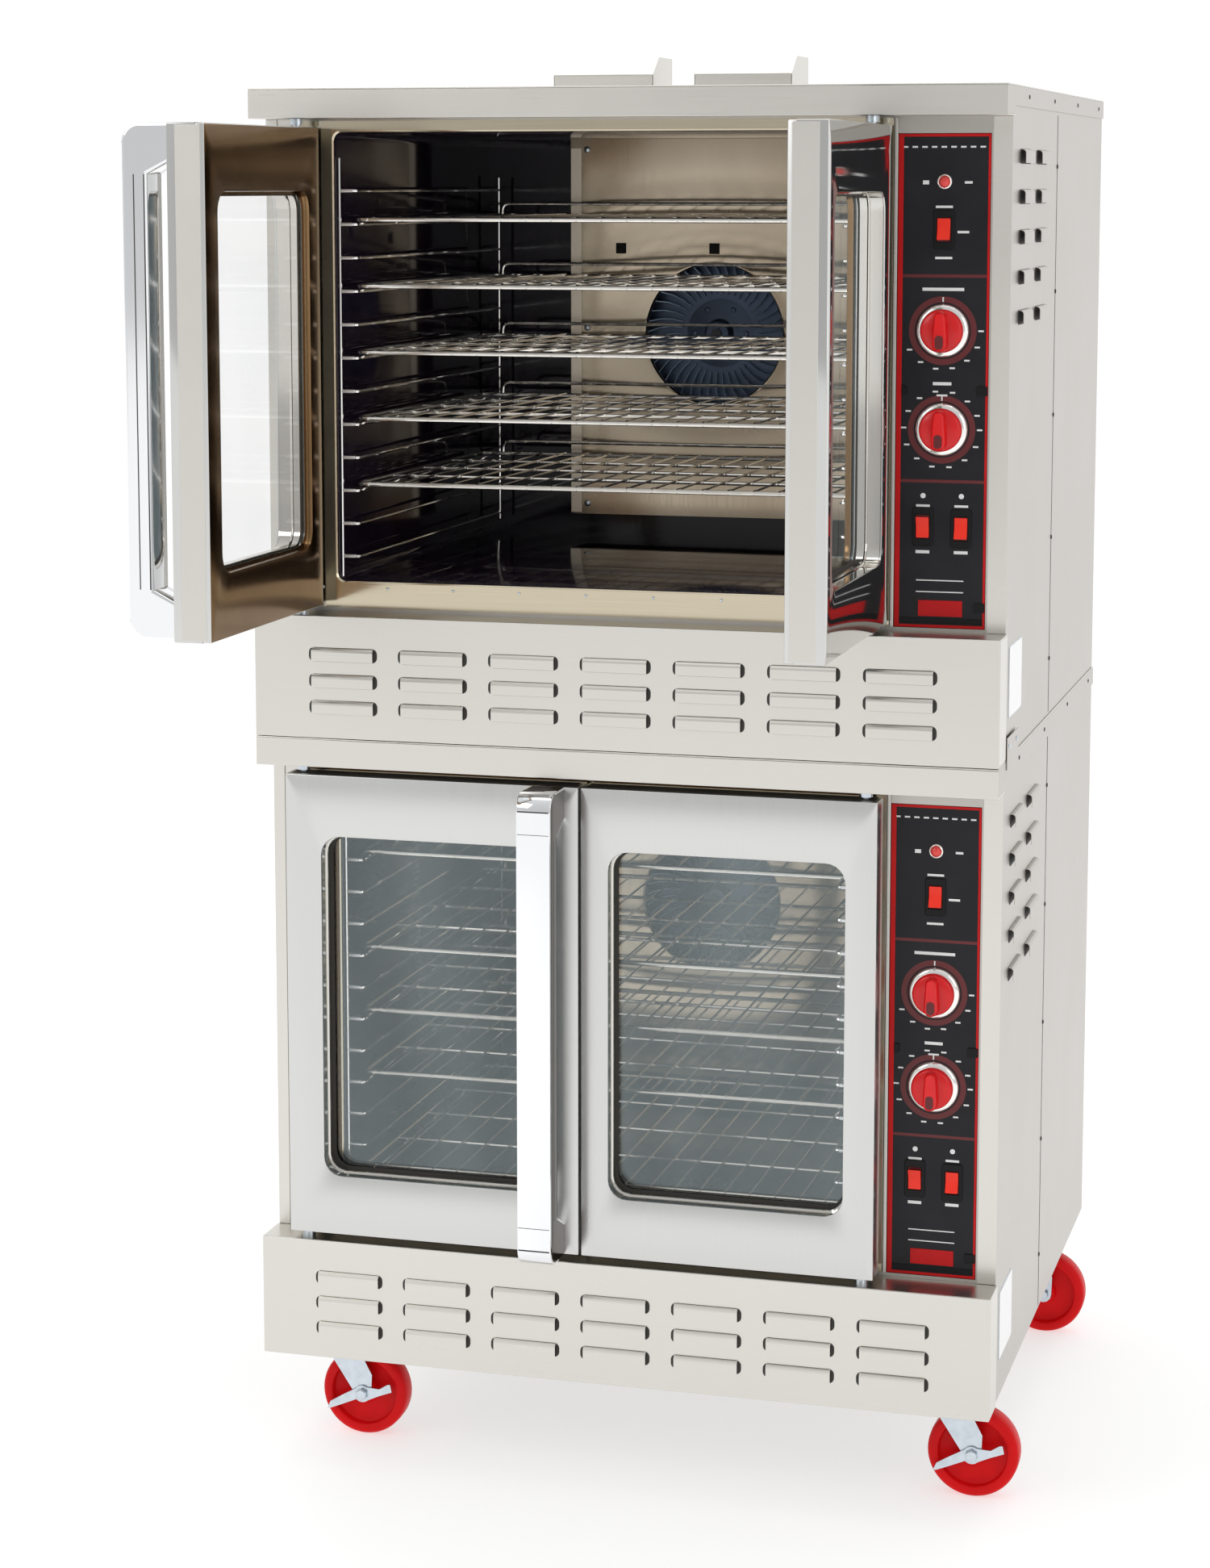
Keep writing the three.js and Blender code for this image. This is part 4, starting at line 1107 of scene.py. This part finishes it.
def fork(row, side, place):
    """Two cheeks under a raceway, and the axle bolt."""
    body = f"{row}_{side}_caster"
    node = f"{body}_fork"
    swivel = Vector(JOINTS[f"{body}_swivel"]["pos_m"])
    head_x = (swivel.x - place.translation.x) / MM
    top = (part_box(node)[1].z - place.translation.z) / MM
    rear, fore = head_x - 25, head_x + 27
    outline = [(rear, top - 16), (head_x - 20, top - 38), (head_x - 4, top - 62)]
    outline += arc(0, 0, 13, 180, 360, 7)
    outline += [(14, top - 66), (fore, top - 34), (fore, top - 16)]
    steel = Sketch()
    for y in (-21.5, 21.5):
        steel.prism(outline, "Y", y - 1.5, y + 1.5)
    steel.box(rear, fore, -23, 23, top - 18, top - 15)
    centre = (head_x, 0, 0)
    steel.lathe(centre, "Z", [(24, top - 16), (30, top - 14), (31, top - 9)], 40)
    steel.lathe(centre, "Z", [(26, top - 9), (33.5, top - 7), (33.5, top)], 40)
    steel.build(f"{node}_steel", ZINC, place, body, bevel=0.7, replaces=[node])
    bolt = Sketch().lathe((0, 0, 0), "Y", [(4.8, -32), (4.8, 27)], 24)
    for y, depth in ((-33, 6), (23.2, 5)):
        bolt.lathe((0, 0, 0), "Y", [(7.6, y), (8.6, y + 0.8), (8.6, y + depth)], 6)
    bolt.build(f"{row}_{side}_axle_bolt", ZINC, place, body, bevel=0.4)


def brake(side, place):
    """The toe lever on the axle: a long arm, a short arm and a round boss."""
    node = f"front_{side}_brake_lever"
    boss = 12.5
    outline = arc(0, 0, boss, 54, 144, 5)
    outline += [(-30, -4), (-48, -15), (-52.5, -25.5), (-49, -25.8), (-30, -18)]
    outline += arc(0, 0, boss, 225, 315, 5)
    outline += [(26, -1), (44.5, 6), (42, 17.5), (38, 17), (26, 9.5)]
    back = -23.5
    lever = Sketch().prism(outline, "Y", back - 2.7, back)
    lever.build(f"{node}_plate", ZINC, place, node, bevel=0.8, replaces=[node])


# ---- Stage ----
def add_floor():
    """A pale studio floor, bright enough to leave only soft shadows."""
    bpy.ops.mesh.primitive_plane_add(size=80, location=(0, 8, 0))
    floor = bpy.context.object
    floor.name = "floor"
    m = Nodes("floor_paint")
    drift = m.noise(m.object_coords(), 0.6, 2.0)
    m.shade(
        Base_Color=m.ramp(drift, [(0.3, (0.54, 0.54, 0.54)), (0.7, (0.56, 0.56, 0.56))]),
        Roughness=0.7,
        Emission_Color=(1, 1, 1, 1),
        Emission_Strength=0.55,
    )
    floor.data.materials.append(m.material)


def add_camera():
    data = bpy.data.cameras.new("camera")
    data.lens = 76.66
    data.sensor_width = 36
    data.sensor_fit = "AUTO"
    data.shift_y = -0.11
    camera = bpy.data.objects.new("camera", data)
    scene.collection.objects.link(camera)
    camera.location = (1.1472, -4.4928, 1.7695)
    camera.rotation_euler = (radians(90 - 7.277), 0, radians(15.425))
    scene.camera = camera


def add_area(name, location, target, size, power):
    data = bpy.data.lights.new(name, "AREA")
    data.shape = "RECTANGLE"
    data.size, data.size_y = size
    data.energy = power
    light = bpy.data.objects.new(name, data)
    scene.collection.objects.link(light)
    light.location = location
    light.rotation_euler = (Vector(target) - Vector(location)).to_track_quat("-Z", "Y").to_euler()


def add_world():
    """A white studio that is a little darker in front of the oven than behind it."""
    world = bpy.data.worlds.new("studio")
    scene.world = world
    world.use_nodes = True
    tree = world.node_tree
    coords = tree.nodes.new("ShaderNodeTexCoord")
    split = tree.nodes.new("ShaderNodeSeparateXYZ")
    level = tree.nodes.new("ShaderNodeMapRange")
    level.inputs["From Min"].default_value = -1.0
    level.inputs["To Min"].default_value = 0.59
    level.inputs["To Max"].default_value = 1.05
    background = tree.nodes["Background"]
    tree.links.new(coords.outputs["Generated"], split.inputs["Vector"])
    tree.links.new(split.outputs["Y"], level.inputs["Value"])
    tree.links.new(level.outputs["Result"], background.inputs["Strength"])
    background.inputs["Color"].default_value = (1, 1, 1, 1)


# ---- Assembly ----
add_camera()
add_world()
add_area("key", (-3.2, -4.2, 3.8), (0, 0, 1.0), (2.4, 2.4), 45)
add_area("fill", (3.6, -3.4, 2.6), (0, 0, 1.0), (2.0, 2.6), 20)
add_area("top", (0, 0.3, 4.6), (0, 0, 1.0), (3.0, 3.0), 30)
scene.view_settings.view_transform = "Standard"
scene.view_settings.look = "None"
add_floor()
for deck in DECKS:
    dress_shell(deck)
    top_cap(deck)
    louver_panel(deck)
    oven_cavity(deck)
    fan_baffle(deck)
    finish_cad_node(NODES[f"{deck.name}_fan_motor"], MOTOR_PAINT, 0.8)
    rack_ladders(deck)
    oven_racks(deck)
    for side in ("left", "right"):
        door(deck, side)
    handle(deck)
    panel(deck)
    for use in KNOB_Z:
        knob(deck, use)
    for use, x, z, lean in ROCKERS:
        rocker(deck, use, x, z, lean)
for row in ("front", "rear"):
    for side in ("left", "right"):
        caster(row, side)
